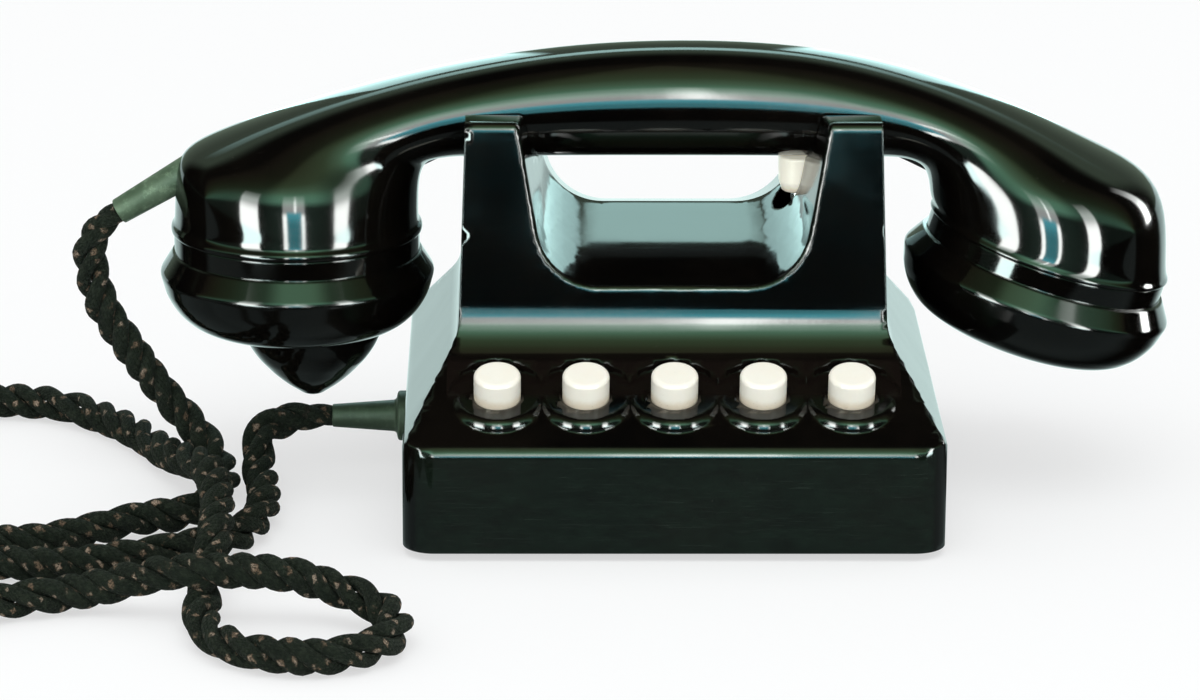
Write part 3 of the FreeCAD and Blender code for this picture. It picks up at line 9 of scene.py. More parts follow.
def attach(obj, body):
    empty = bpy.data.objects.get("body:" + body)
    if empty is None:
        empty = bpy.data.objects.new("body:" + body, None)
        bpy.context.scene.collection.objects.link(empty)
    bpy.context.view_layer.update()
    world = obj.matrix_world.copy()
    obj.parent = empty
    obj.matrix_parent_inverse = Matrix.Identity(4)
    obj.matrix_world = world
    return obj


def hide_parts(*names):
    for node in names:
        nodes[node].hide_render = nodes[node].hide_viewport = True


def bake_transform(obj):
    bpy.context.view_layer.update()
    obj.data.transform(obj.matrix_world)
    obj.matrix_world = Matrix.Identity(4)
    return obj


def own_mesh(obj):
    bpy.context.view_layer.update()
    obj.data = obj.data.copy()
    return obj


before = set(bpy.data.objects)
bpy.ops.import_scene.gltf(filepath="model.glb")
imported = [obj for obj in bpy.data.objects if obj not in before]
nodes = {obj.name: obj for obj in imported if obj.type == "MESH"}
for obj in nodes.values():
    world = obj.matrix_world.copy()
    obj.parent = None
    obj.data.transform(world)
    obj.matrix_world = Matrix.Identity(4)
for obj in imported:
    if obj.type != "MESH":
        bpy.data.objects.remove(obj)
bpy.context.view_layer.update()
mm = 0.001
# the keys' own up direction, which leans 17 degrees to the front
keyLean = math.radians(17.0)
keyUp = Vector((0.0, -math.sin(keyLean), math.cos(keyLean)))


# a socket that takes part in sums
class Signal:
    def __init__(self, graph, socket):
        self.graph = graph
        self.socket = socket

    def math(self, operation, *others):
        node = self.graph.tree.nodes.new("ShaderNodeMath")
        node.operation = operation
        for place, value in enumerate((self,) + others):
            self.graph.feed(node.inputs[place], value)
        return Signal(self.graph, node.outputs[0])

    def __add__(self, other):
        return self.math("ADD", other)

    __radd__ = __add__

    def __sub__(self, other):
        return self.math("SUBTRACT", other)

    def __rsub__(self, other):
        return (self * -1.0) + other

    def __mul__(self, other):
        return self.math("MULTIPLY", other)

    __rmul__ = __mul__

    def __pow__(self, other):
        return self.math("POWER", other)

    def into(self, kind):
        output = self.graph.output or self.graph.tree.nodes.new("ShaderNode" + kind)
        self.graph.output = output
        self.graph.tree.links.new(self.socket, output.inputs["Surface"])

    def clipped(self):
        return self.math("MINIMUM", 1.0).math("MAXIMUM", 0.0)

    def rise(self, low, high):
        steps = {"interpolation_type": "SMOOTHSTEP"}
        values = {"Value": self, "From Min": low, "From Max": high, "To Min": 0.0, "To Max": 1.0}
        return self.graph.add("MapRange", steps, values, "Result")


# one node tree, and the one way to add a node to it
class Graph:
    def __init__(self, owner):
        owner.use_nodes = True
        self.tree = owner.node_tree
        self.tree.nodes.clear()
        self.output = None

    def feed(self, socket, value):
        if isinstance(value, Signal):
            self.tree.links.new(value.socket, socket)
        elif isinstance(value, tuple) and socket.type == "RGBA":
            socket.default_value = (value + (1.0,))[:4]
        else:
            socket.default_value = value

    def add(self, kind, settings, values, output):
        node = self.tree.nodes.new("ShaderNode" + kind)
        for key, value in settings.items():
            if key == "stops":
                ramp = node.color_ramp
                while len(ramp.elements) < len(value):
                    ramp.elements.new(0.5)
                for element, (position, colour) in zip(ramp.elements, value):
                    element.position = position
                    element.color = (colour + (1.0,))[:4]
            else:
                setattr(node, key, value)
        for key, value in values.items():
            self.feed(node.inputs[key], value)
        return Signal(self, node.outputs[output])

    def noise(self, scale, detail=3.0, rough=0.5, place=None):
        values = {"Vector": place or self.place, "Scale": scale, "Detail": detail, "Roughness": rough}
        return self.add("TexNoise", {}, values, "Fac")

    def part(self, axis, place=None):
        return self.add("SeparateXYZ", {}, {"Vector": place or self.place}, axis)

    def stretched(self, scale):
        return self.add("Mapping", {}, {"Vector": self.place, "Scale": scale}, "Vector")

    def blend(self, share, first, second):
        settings = {"data_type": "RGBA", "blend_type": "MIX"}
        return self.add("Mix", settings, {0: share, 6: first, 7: second}, 2)

    def scaled(self, colour, amount):
        return self.add("VectorMath", {"operation": "SCALE"}, {0: colour, "Scale": amount}, "Vector")

    def joined(self, *colours):
        total = colours[0]
        for colour in colours[1:]:
            total = self.add("VectorMath", {"operation": "ADD"}, {0: total, 1: colour}, "Vector")
        return total

    def rays(self):
        camera = self.add("LightPath", {}, {}, "Is Camera Ray")
        glossy = self.add("LightPath", {}, {}, "Is Glossy Ray")
        return camera, glossy.math("MAXIMUM", self.add("LightPath", {}, {}, "Is Transmission Ray"))

    def bump(self, height, distance, strength=1.0, normal=None):
        values = {"Height": height, "Distance": distance, "Strength": strength}
        if normal is not None:
            values["Normal"] = normal
        return self.add("Bump", {}, values, "Normal")

    def within(self, value, low, high, soft):
        return value.rise(low, low + soft) * (1.0 - value.rise(high - soft, high))


class Finish(Graph):
    def __init__(self, name, **constants):
        self.material = bpy.data.materials.new(name)
        super().__init__(self.material)
        self.shader = self.tree.nodes.new("ShaderNodeBsdfPrincipled")
        Signal(self, self.shader.outputs[0]).into("OutputMaterial")
        self.place = self.add("TexCoord", {}, {}, "Object")
        self.put(**constants)

    def put(self, **values):
        for key, value in values.items():
            self.feed(self.shader.inputs[key.replace("_", " ")], value)
        return self.material


def blackBakelite():
    f = Finish("blackBakelite", IOR=1.5, Coat_Weight=0.03, Coat_Roughness=0.16, Coat_IOR=1.5)
    cloud = f.noise(28.0, 4.0, 0.6)
    speck = f.noise(1500.0, 2.0, 0.6).rise(0.72, 0.80)
    dust = speck * f.noise(45.0, 3.0).rise(0.48, 0.72)
    tint = f.blend(cloud.rise(0.35, 0.75), (0.0011, 0.0010, 0.0009), (0.0038, 0.0030, 0.0022))
    colour = f.blend(dust * 0.45, tint, (0.12, 0.11, 0.095))
    across, back, height = (f.part(axis) for axis in "XYZ")
    front = (1.0 - back.rise(-0.0588, -0.0575)) * (1.0 - height.rise(0.028, 0.031))
    scratch = f.noise(1.0, 2.0, 0.7, f.stretched((110.0, 900.0, 6200.0))).rise(0.60, 0.70)
    # painted reflection: a greenish haze in the colour of the block's front face stands in for what is
    # reflected there
    paintedFrontReflection = f.noise(1.0, 4.0, 0.6, f.stretched((160.0, 900.0, 420.0)))
    colour = f.blend(front * (paintedFrontReflection * 1.1 - 0.05).clipped(), colour, (0.0060, 0.0125, 0.0080))
    colour = f.blend(front * scratch * 0.22, colour, (0.04, 0.055, 0.045))
    streak = f.noise(1.0, 3.0, 0.6, f.stretched((50.0, 700.0, 2400.0))).rise(0.55, 0.78)
    smear = f.noise(75.0, 5.0, 0.65)
    grease = f.noise(26.0, 3.0, 0.6).rise(0.46, 0.66)
    # the bend above the keys is rubbed duller, apart from a stretch right of the middle
    bend = f.within(height, 0.0455, 0.0530, 0.0015) * f.within(back, -0.045, -0.020, 0.002)
    rubbed = (1.0 - f.within(across, -0.004, 0.052, 0.016)) * bend
    rough = 0.045 + smear * 0.04 + streak * 0.04 + dust * 0.25 + grease * 0.05
    rough = rough + rubbed * (0.04 + smear * 0.07)
    edge = f.add("Bevel", {"samples": 6}, {"Radius": 0.0007}, "Normal")
    coarse = f.bump(f.noise(32.0, 2.0, 0.4), 0.00022, 0.5, edge)
    fine = f.bump(f.noise(900.0, 2.0), 0.000006, 0.3, coarse)
    f.put(Base_Color=colour, Roughness=rough, Normal=fine)
    # painted shade: the recess behind each key gets a near-black matte finish in place of the polished one,
    # standing in for shade there
    panelSlope = math.radians(29.9)
    panel = height * math.cos(panelSlope) - back * math.sin(panelSlope)
    behind = f.within(back, -0.046, -0.0325, 0.003) * height.rise(0.033, 0.035)
    recessShadeShare = behind * (1.0 - panel.rise(0.0531, 0.0534)) * f.within(across, -0.0535, 0.0535, 0.0005) * 0.85
    paintedRecessShade = f.add("BsdfDiffuse", {}, {"Color": (0.007, 0.005, 0.004)}, "BSDF")
    polished = Signal(f, f.shader.outputs[0])
    f.add("MixShader", {}, {0: recessShadeShare, 1: polished, 2: paintedRecessShade}, "Shader").into("OutputMaterial")
    return f.material


def ivoryPlastic():
    f = Finish("ivoryPlastic", IOR=1.5, Subsurface_Weight=0.06, Subsurface_Scale=1.0,
               Subsurface_Radius=(0.0016, 0.0010, 0.0006), Emission_Strength=1.0)
    lean = {0: f.place, 1: tuple(keyUp)}
    height = f.add("VectorMath", {"operation": "DOT_PRODUCT"}, lean, "Value")
    ivoryNoise = f.noise(420.0, 4.0, 0.65)
    # the lower band of each key cap, and the foot of the knob, are coloured a darker tan
    low = 1.0 - (height + (ivoryNoise - 0.5) * 0.0016).rise(0.0474, 0.0496)
    knob = f.part("Z").rise(0.066, 0.0665)
    foot = 1.0 - (f.part("Z") + (ivoryNoise - 0.5) * 0.002).rise(0.0716, 0.0742)
    band = low * (1.0 - knob) + foot * knob
    spots = f.noise(1900.0, 2.0, 0.5).rise(0.66, 0.74) * 0.35
    plainIvory = f.blend(f.noise(160.0, 3.0), (0.90, 0.86, 0.74), (0.94, 0.92, 0.83))
    patterned = f.blend(band * 0.45, plainIvory, (0.66, 0.49, 0.28))
    colour = f.blend(spots * (band * 0.8 + 0.2), patterned, (0.20, 0.11, 0.05))
    rough = 0.24 + ivoryNoise * 0.16
    # painted light: the knob is given a faint cream emission, standing in for light falling on it
    glow = f.blend(knob * (1.0 - foot * 0.8), (0.0, 0.0, 0.0), (0.34, 0.33, 0.27))
    relief = f.bump(f.noise(700.0, 3.0), 0.00003, 0.4)
    return f.put(Base_Color=colour, Roughness=rough, Emission_Color=glow, Normal=relief)


def plainMetal(name, low, high, rough):
    f = Finish(name, Metallic=1.0)
    line = f.noise(1.0, 3.0, 0.6, f.stretched((900.0, 900.0, 60.0)))
    stain = f.noise(90.0, 4.0, 0.6)
    colour = f.blend(stain, low, high)
    rough = rough + line * 0.16 + stain * 0.08
    return f.put(Base_Color=colour, Roughness=rough, Normal=f.bump(line, 0.00003, 0.3))


def paintedSteel():
    f = Finish("paintedSteel")
    cloud = f.noise(60.0, 4.0, 0.6)
    chip = f.noise(520.0, 3.0, 0.6).rise(0.66, 0.70)
    paint = f.blend(cloud, (0.028, 0.029, 0.030), (0.050, 0.051, 0.050))
    colour = f.blend(chip, paint, (0.23, 0.20, 0.17))
    peel = f.bump(f.noise(1300.0, 2.0), 0.00003, 0.5)
    return f.put(Base_Color=colour, Roughness=0.42 + cloud * 0.12, Metallic=chip * 0.7, Normal=peel)


def brownLaminate():
    f = Finish("brownLaminate")
    weave = f.noise(1.0, 2.0, 0.5, f.stretched((2600.0, 500.0, 2600.0)))
    colour = f.blend(weave, (0.11, 0.045, 0.018), (0.21, 0.10, 0.042))
    return f.put(Base_Color=colour, Roughness=0.38 + weave * 0.15, Normal=f.bump(weave, 0.00004, 0.5))


def copperWinding():
    f = Finish("copperWinding")
    turns = (f.part("X") * 9000.0).math("SINE") * 0.5 + 0.5
    tone = f.noise(240.0, 3.0)
    base = f.blend(tone, (0.36, 0.11, 0.035), (0.62, 0.24, 0.09))
    colour = f.blend(turns * 0.5, base, (0.12, 0.03, 0.012))
    rough = 0.3 + tone * 0.15
    metal = 0.55 + turns * 0.2
    return f.put(Base_Color=colour, Roughness=rough, Metallic=metal, Normal=f.bump(turns, 0.00006, 0.8))


def rubber(name, low, high, rough):
    f = Finish(name, Specular_IOR_Level=0.3)
    cloud = f.noise(130.0, 5.0, 0.65)
    fine = f.noise(1500.0, 3.0, 0.6)
    chalk = f.noise(520.0, 4.0, 0.7).rise(0.52, 0.74)
    base = f.blend(cloud.rise(0.3, 0.7), low, high)
    pale = tuple(min(1.0, part * 2.4 + 0.02) for part in high)
    floorShadeTone = tuple(part * 0.3 for part in low)
    colour = f.blend(chalk * 0.35, base, pale)
    # painted shade: everything below about 20 to 40 mm height is darkened, standing in for the shade by the
    # floor
    colour = f.blend((1.0 - f.part("Z").rise(0.02, 0.04)) * 0.65, colour, floorShadeTone)
    relief = f.bump(fine * 0.6 + cloud * 0.4, 0.00010, 0.6)
    return f.put(Base_Color=colour, Roughness=rough + cloud * 0.18, Normal=relief)


def braidedTextile():
    # u runs along a strand in metres, v once round it
    f = Finish("braidedTextile", Specular_IOR_Level=0.12, Sheen_Weight=0.04, Sheen_Roughness=0.5,
               Sheen_Tint=(0.55, 0.55, 0.50))
    uv = f.add("UVMap", {"uv_map": "strand"}, {}, "UV")
    along = f.part("X", uv)
    around = f.part("Y", uv)
    turn = around * (math.tau * 6.0)
    pace = along * (math.tau / 0.0021)
    left = (pace + turn).math("SINE")
    right = (pace - turn).math("SINE")
    cross = left * right
    above = cross.rise(-0.08, 0.08)
    thread = (left.math("ABSOLUTE") ** 0.6) * above + (right.math("ABSOLUTE") ** 0.6) * (1.0 - above)
    hair = f.noise(2600.0, 4.0, 0.7)
    patch = f.noise(150.0, 3.0, 0.6)
    stray = f.noise(420.0, 3.0, 0.6)
    winding = (along * (math.tau / 0.0062) + around * math.tau + stray * 3.0).math("SINE")
    dashes = (along * (math.tau / 0.0034) - around * (math.tau * 3.0) + stray * 4.0).math("SINE")
    patterned = hair.rise(0.36, 0.60)
    tracer = winding.rise(0.60, 0.84) * dashes.rise(-0.2, 0.3) * patterned
    tracer = tracer * f.noise(260.0, 2.0).rise(0.42, 0.52)
    pale = winding.rise(0.70, 0.92) * dashes.rise(0.3, 0.7) * patterned
    pale = pale * f.noise(240.0, 2.0).rise(0.47, 0.56)
    base = f.blend(patch.rise(0.3, 0.7), (0.0016, 0.0026, 0.0018), (0.0050, 0.0078, 0.0052))
    mottle = f.noise(780.0, 3.0, 0.7).rise(0.44, 0.66)
    lit = f.blend((hair * thread * 0.4 + mottle * 0.6).clipped(), base, (0.020, 0.026, 0.017))
    brown = f.blend(tracer * 0.85, lit, (0.19, 0.130, 0.086))
    colour = f.blend(pale * 0.75, brown, (0.42, 0.33, 0.25))
    relief = f.bump(thread * 0.75 + hair * 0.45, 0.00045, 0.9)
    return f.put(Base_Color=colour, Roughness=0.72 + hair * 0.2, Normal=relief)


finishes = {
    "black_bakelite": blackBakelite(),
    "ivory_plastic": ivoryPlastic(),
    "bright_steel": plainMetal("brightSteel", (0.55, 0.55, 0.54), (0.68, 0.68, 0.67), 0.22),
    "plated_steel": plainMetal("platedSteel", (0.50, 0.48, 0.42), (0.62, 0.60, 0.55), 0.30),
    "painted_steel": paintedSteel(),
    "contact_brass": plainMetal("contactBrass", (0.58, 0.40, 0.15), (0.72, 0.52, 0.22), 0.26),
    "brown_laminate": brownLaminate(),
    "copper_winding": copperWinding(),
    "soft_iron": plainMetal("softIron", (0.26, 0.25, 0.24), (0.36, 0.35, 0.34), 0.38),
    "can_aluminium": plainMetal("canAluminium", (0.62, 0.63, 0.64), (0.74, 0.75, 0.76), 0.32),
    "black_rubber": rubber("blackRubber", (0.010, 0.010, 0.010), (0.022, 0.022, 0.021), 0.55),
    "grey_green_rubber": rubber("greyGreenRubber", (0.050, 0.085, 0.050), (0.110, 0.165, 0.105), 0.42),
    "lead_rubber": rubber("leadRubber", (0.020, 0.020, 0.020), (0.040, 0.039, 0.037), 0.5),
    "braided_textile": braidedTextile(),
}
for name, node in nodes.items():
    for holder in node.material_slots:
        label = holder.material.name.split(".")[0]
        if label in finishes:
            holder.material = finishes[label]
        else:
            print("no finish for", name, holder.material.name)
print("finishes made:", len(finishes))


def addPiece(name, bm, slot, body, replaced=(), smooth=35.0, weighted=True):
    mesh = bpy.data.meshes.new(name)
    bm.to_mesh(mesh)
    bm.free()
    piece = bpy.data.objects.new(name, mesh)
    bpy.context.scene.collection.objects.link(piece)
    mesh.materials.append(finishes[slot])
    mesh.shade_smooth()
    if smooth:
        mesh.set_sharp_from_angle(angle=math.radians(smooth))
    if weighted:
        normals = piece.modifiers.new("weighted", "WEIGHTED_NORMAL")
        normals.keep_sharp = True
        normals.weight = 80
    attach(piece, body)
    if replaced:
        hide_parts(*replaced)
    return piece


def spun(profile, rounds, steps=96):
    # profile is (radius, height) in mm round Z, rounds gives (corner, setback, segments)
    bm = bmesh.new()
    line = [bm.verts.new((radius * mm, 0.0, height * mm)) for radius, height in profile]
    for first, second in zip(line, line[1:]):
        bm.edges.new((first, second))
    for corner, setback, segments in rounds:
        bmesh.ops.bevel(bm, geom=[line[corner]], offset=setback * mm, offset_type="OFFSET",
                        segments=segments, profile=0.5, affect="VERTICES", material=-1)
    geometry = bm.verts[:] + bm.edges[:]
    bmesh.ops.spin(bm, geom=geometry, cent=(0, 0, 0), axis=(0, 0, 1), angle=math.tau,
                   steps=steps, use_merge=True)
    bmesh.ops.remove_doubles(bm, verts=bm.verts[:], dist=0.000004)
    bmesh.ops.dissolve_degenerate(bm, dist=0.000002, edges=bm.edges[:])
    bmesh.ops.recalc_face_normals(bm, faces=bm.faces[:])
    return bm


def placed(bm, matrix):
    bmesh.ops.transform(bm, matrix=matrix, verts=bm.verts[:])
    return bm


def along(origin, direction):
    turn = Vector((0, 0, 1)).rotation_difference(Vector(direction)).to_matrix().to_4x4()
    return Matrix.Translation(Vector(origin) * mm) @ turn


def evenShading(mesh, sizes):
    # the CAD mesh is flat facets, so its corner normals are averaged with those of their neighbours
    alike = math.cos(math.radians(sizes["alike"]))
    mesh.set_sharp_from_angle(angle=math.radians(sizes["sharp"]))
    ends = np.empty(len(mesh.edges) * 2, dtype=np.int32)
    mesh.edges.foreach_get("vertices", ends)
    first, second = ends.reshape(-1, 2).T
    creased = np.empty(len(mesh.edges), dtype=bool)
    mesh.edges.foreach_get("use_edge_sharp", creased)
    edged = np.zeros(len(mesh.vertices), dtype=bool)
    edged[first[creased]] = edged[second[creased]] = True
    owner = np.empty(len(mesh.loops), dtype=np.int32)
    mesh.loops.foreach_get("vertex_index", owner)
    counts = np.empty(len(mesh.polygons), dtype=np.int32)
    mesh.polygons.foreach_get("loop_total", counts)
    areas = np.empty(len(mesh.polygons))
    mesh.polygons.foreach_get("area", areas)
    facing = np.empty(len(mesh.polygons) * 3)
    mesh.polygons.foreach_get("normal", facing)
    shares = np.repeat(facing.reshape(-1, 3) * areas[:, None], counts, axis=0)
    normals = np.zeros((len(mesh.vertices), 3))
    np.add.at(normals, owner, shares)
    size = np.linalg.norm(normals, axis=1, keepdims=True)
    normals /= np.maximum(size, 1e-12)
    places = np.empty(len(mesh.vertices) * 3)
    mesh.vertices.foreach_get("co", places)
    places = places.reshape(-1, 3)
    near = ~(edged[first] | edged[second])
    first, second = first[near], second[near]
    length = np.linalg.norm(places[first] - places[second], axis=1, keepdims=True)
    share = np.clip(1.0 - length / (sizes["reach"] * mm), 0.0, 1.0)
    for _ in range(sizes["passes"]):
        close = (normals[first] * normals[second]).sum(axis=1, keepdims=True) > alike
        total = normals * size
        np.add.at(total, first, normals[second] * size[second] * share * close)
        np.add.at(total, second, normals[first] * size[first] * share * close)
        normals = total / np.maximum(np.linalg.norm(total, axis=1, keepdims=True), 1e-12)
    corners = np.empty(len(mesh.loops) * 3, dtype=np.float32)
    mesh.corner_normals.foreach_get("vector", corners)
    corners = corners.reshape(-1, 3)
    inner = ~edged[owner]
    corners[inner] = normals[owner[inner]]
    mesh.normals_split_custom_set(corners.tolist())


def mergedCopy(node, name, slot, body, sizes):
    pitch = sizes["pitch"] * mm
    bm = bmesh.new()
    bm.from_mesh(nodes[node].data)
    bmesh.ops.remove_doubles(bm, verts=bm.verts[:], dist=0.000003)
    bmesh.ops.dissolve_limit(bm, angle_limit=math.radians(0.05), verts=bm.verts[:], edges=bm.edges[:])
    for axis in range(3):
        places = [vertex.co[axis] for vertex in bm.verts]
        count = int((max(places) - min(places)) / pitch)
        normal = Vector([float(part == axis) for part in range(3)])
        for number in range(count):
            level = min(places) + (number + 0.5) * pitch
            geometry = bm.verts[:] + bm.edges[:] + bm.faces[:]
            bmesh.ops.bisect_plane(bm, geom=geometry, dist=0.000002,
                                   plane_co=normal * level, plane_no=normal)
    print(name, "faces", len(bm.faces))
    piece = addPiece(name, bm, slot, body, (node,), sizes["sharp"], False)
    evenShading(piece.data, sizes)


# key springs: a wound wire each
springSizes = {"wire": 0.42, "turns": 6.5, "travel": 3.6, "steps": 28, "sides": 10}


def keySpring(number):
    tag = str(number)
    node = "key_spring_" + tag
    spans = []
    for way in (Vector((1, 0, 0)), Vector((1, 0, 0)).cross(keyUp) * -1.0, keyUp):
        places = [vertex.co.dot(way) for vertex in nodes[node].data.vertices]
        spans.append((min(places), max(places), way))
    middles = [way * ((low + high) / 2) for low, high, way in spans]
    outer = (spans[0][1] - spans[0][0]) / 2
    length = spans[2][1] - spans[2][0]
    foot = middles[0] + middles[1] + keyUp * spans[2][0]
    wire = springSizes["wire"] * mm
    turns = springSizes["turns"]
    steps = int(turns * springSizes["steps"])
    bm = bmesh.new()
    bmesh.ops.create_circle(bm, cap_ends=True, segments=springSizes["sides"], radius=wire)
    placed(bm, Matrix.Translation((outer - wire, 0.0, wire)) @ Matrix.Rotation(math.pi / 2, 4, "X"))
    bmesh.ops.spin(bm, geom=bm.verts[:] + bm.edges[:] + bm.faces[:], cent=(0, 0, 0), axis=(0, 0, 1),
                   dvec=Vector((0.0, 0.0, (length - 2 * wire) / steps)), angle=math.tau * turns,
                   steps=steps, use_merge=False)
    bmesh.ops.recalc_face_normals(bm, faces=bm.faces[:])
    placed(bm, Matrix.Translation(foot) @ keyUp.to_track_quat("Z", "X").to_matrix().to_4x4())
    piece = addPiece("keySpringWire" + tag, bm, "bright_steel", "base", (node,), 35.0, False)
    1.0 - springSizes["travel"] * mm / length
    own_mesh(piece)


# the cord: one NURBS route with three twisted strands on it
cordSizes = {
    "lift": 0.9, "thickness": 8.0, "strandRadius": 1.92, "offset": 2.34, "pitch": 18.5, "slack": 0.8,
    "sides": 14, "step": 1.1, "twist": 0.55, "drift": 0.28, "swell": 0.10, "taper": 0.02,
}
cordRoute = [
    (-132.91, 7, 65.82), (-141, 7, 61), (-139, 6.9, 44), (-127.5, 6.5, 26), (-115, 4.8, 10.5),
    (-107.8, -6, 3.6), (-107.6, -26, 3.6), (-113.5, -37.5, 3.6), (-126.5, -41.5, 3.6),
    (-138, -52, 3.6), (-152, -60, 3.6),
    (-174, -57, 3.6), (-200, -50, 3.6), (-219, -29, 3.6), (-221, 3, 3.6), (-205, 34, 3.6), (-177, 50, 3.6),
    (-151, 47.5, 3.6), (-133, 27, 3.6), (-124.5, 9, 3.6), (-117, -9, 7.2), (-110.5, -27, 11.8),
    (-106, -53, 11.8), (-106, -77.5, 11.4), (-107, -91, 3.6), (-107.5, -113, 3.6), (-100, -128, 3.6),
    (-85, -134.5, 3.6), (-70, -131, 3.6), (-62, -117.5, 3.6), (-67.5, -104, 5.0), (-80, -100, 8.5),
    (-90, -101, 11.6), (-107, -99, 11.6), (-119.5, -96, 9.0), (-132.5, -92.5, 4.4), (-146.5, -96, 3.6),
    (-163.5, -102.5, 3.6), (-184, -113.5, 3.6), (-206, -115.5, 3.6), (-225, -106, 3.6), (-232.5, -87, 3.6),
    (-223.5, -69, 3.6), (-203, -65.5, 3.6), (-180, -71.5, 3.6), (-158, -71.5, 3.6), (-138.5, -75, 3.6),
    (-120, -65.5, 3.6), (-104, -57.5, 3.6), (-97.6, -43, 3.6), (-97, -24, 3.6), (-99.6, -8, 4.6),
    (-99, 7.6, 14), (-82.05, 7.6, 14),
]


def routeLine():
    last = len(cordRoute) - 1
    curve = bpy.data.curves.new("cordLine", "CURVE")
    curve.dimensions = "3D"
    curve.resolution_u = 24
    spline = curve.splines.new("NURBS")
    spline.points.add(last)
    for index, (x, y, z) in enumerate(cordRoute):
        lift = cordSizes["lift"] if 3 < index < last - 1 else 0.0
        spline.points[index].co = (x * mm, y * mm, (z + lift) * mm, 1.0)
    spline.order_u = 3
    spline.use_endpoint_u = True
    holder = bpy.data.objects.new("cordLine", curve)
    line = [vertex.co.copy() for vertex in bpy.data.meshes.new_from_object(holder).vertices]
    bpy.data.objects.remove(holder)
    return line


def evenPoints(line, step):
    lengths = [0.0]
    for first, second in zip(line, line[1:]):
        lengths.append(lengths[-1] + (second - first).length)
    count = round(lengths[-1] / step)
    points, place = [], 0
    for index in range(count + 1):
        target = lengths[-1] * index / count
        while place < len(line) - 2 and lengths[place + 1] < target:
            place += 1
        span = lengths[place + 1] - lengths[place]
        share = (target - lengths[place]) / span if span > 0 else 0.0
        points.append(line[place].lerp(line[place + 1], share))
    return points, lengths[-1]


def wander(distance, seed):
    total = 0.0
    for wave, pull in ((0.083, 0.5), (0.037, 0.3), (0.019, 0.2)):
        total += pull * math.sin(distance / wave * math.tau + seed * (1.7 + wave * 31.0))
    return total


def ropeMesh(points):
    frames = []
    side = Vector((0, 1, 0))
    for index, point in enumerate(points):
        ahead = points[min(index + 1, len(points) - 1)] - points[max(index - 1, 0)]
        ahead.normalize()
        side = (side - ahead * side.dot(ahead)).normalized()
        frames.append((point, side.copy(), ahead.cross(side)))
    curve = bpy.data.curves.new("cordStrands", "CURVE")
    curve.dimensions = "3D"
    curve.bevel_depth = cordSizes["strandRadius"] * mm
    curve.bevel_resolution = (cordSizes["sides"] - 4) // 2
    curve.use_fill_caps = True
    step = (points[1] - points[0]).length
    turns = [0.0]
    for first, second in zip(points, points[1:]):
        lay = cordSizes["pitch"] * mm * (1.0 + cordSizes["slack"] * abs(second.y - first.y) / step)
        turns.append(turns[-1] + step / lay)
    for strand in range(3):
        spline = curve.splines.new("POLY")
        spline.points.add(len(points) - 1)
        for index, (point, across, up) in enumerate(frames):
            distance = index * step
            remaining = (len(points) - 1 - index) * step
            turn = math.tau * (turns[index] + strand / 3.0) + cordSizes["twist"] * wander(distance, 2.0)
            swell = cordSizes["swell"] * wander(distance, 5.0 + strand * 2.3)
            offset = (cordSizes["offset"] + cordSizes["drift"] * wander(distance, strand * 3.1)) * mm
            ends = min(1.0, 0.35 + min(distance, remaining) / cordSizes["taper"])
            where = point + (across * math.cos(turn) + up * math.sin(turn)) * offset * ends
            spline.points[index].co = (*where, 1.0)
            spline.points[index].radius = (1.0 + swell) * (0.85 + 0.15 * ends)
    holder = bpy.data.objects.new("cordStrands", curve)
    mesh = bpy.data.meshes.new_from_object(holder)
    bpy.data.objects.remove(holder)
    return mesh, step


def strandMap(mesh, count, step):
    # the tube's rings follow one another, so a point's number gives its place on the strand
    sides = 2 * ((cordSizes["sides"] - 4) // 2) + 4
    layer = mesh.uv_layers.new(name="strand")
    for face in mesh.polygons:
        rings = [mesh.loops[loop].vertex_index % sides for loop in face.loop_indices]
        wraps = max(rings) - min(rings) > sides / 2
        for loop, ring in zip(face.loop_indices, rings):
            number = mesh.loops[loop].vertex_index // sides
            turn = ring + sides if wraps and ring < sides / 2 else ring
            layer.data[loop].uv = ((number % count) * step, turn / sides)


cordPoints, cordLength = evenPoints(routeLine(), cordSizes["step"] * mm)
ropeData, ropeStep = ropeMesh(cordPoints)
strandMap(ropeData, len(cordPoints), ropeStep)
ropeData.materials.clear()
ropeData.materials.append(finishes["braided_textile"])
ropeData.shade_smooth()
cord = bpy.data.objects.new("twistedCord", ropeData)
bpy.context.scene.collection.objects.link(cord)
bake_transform(cord)
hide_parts("cord_drop", "cord_floor")
print("cord made, length", round(cordLength, 4), "faces", len(ropeData.polygons))


housingSizes = {"sharp": 38.0, "pitch": 3.0, "alike": 13.0, "reach": 1.8, "passes": 3}
mergedCopy("housing", "housingMoulding", "black_bakelite", "base", housingSizes)
print("housing made")


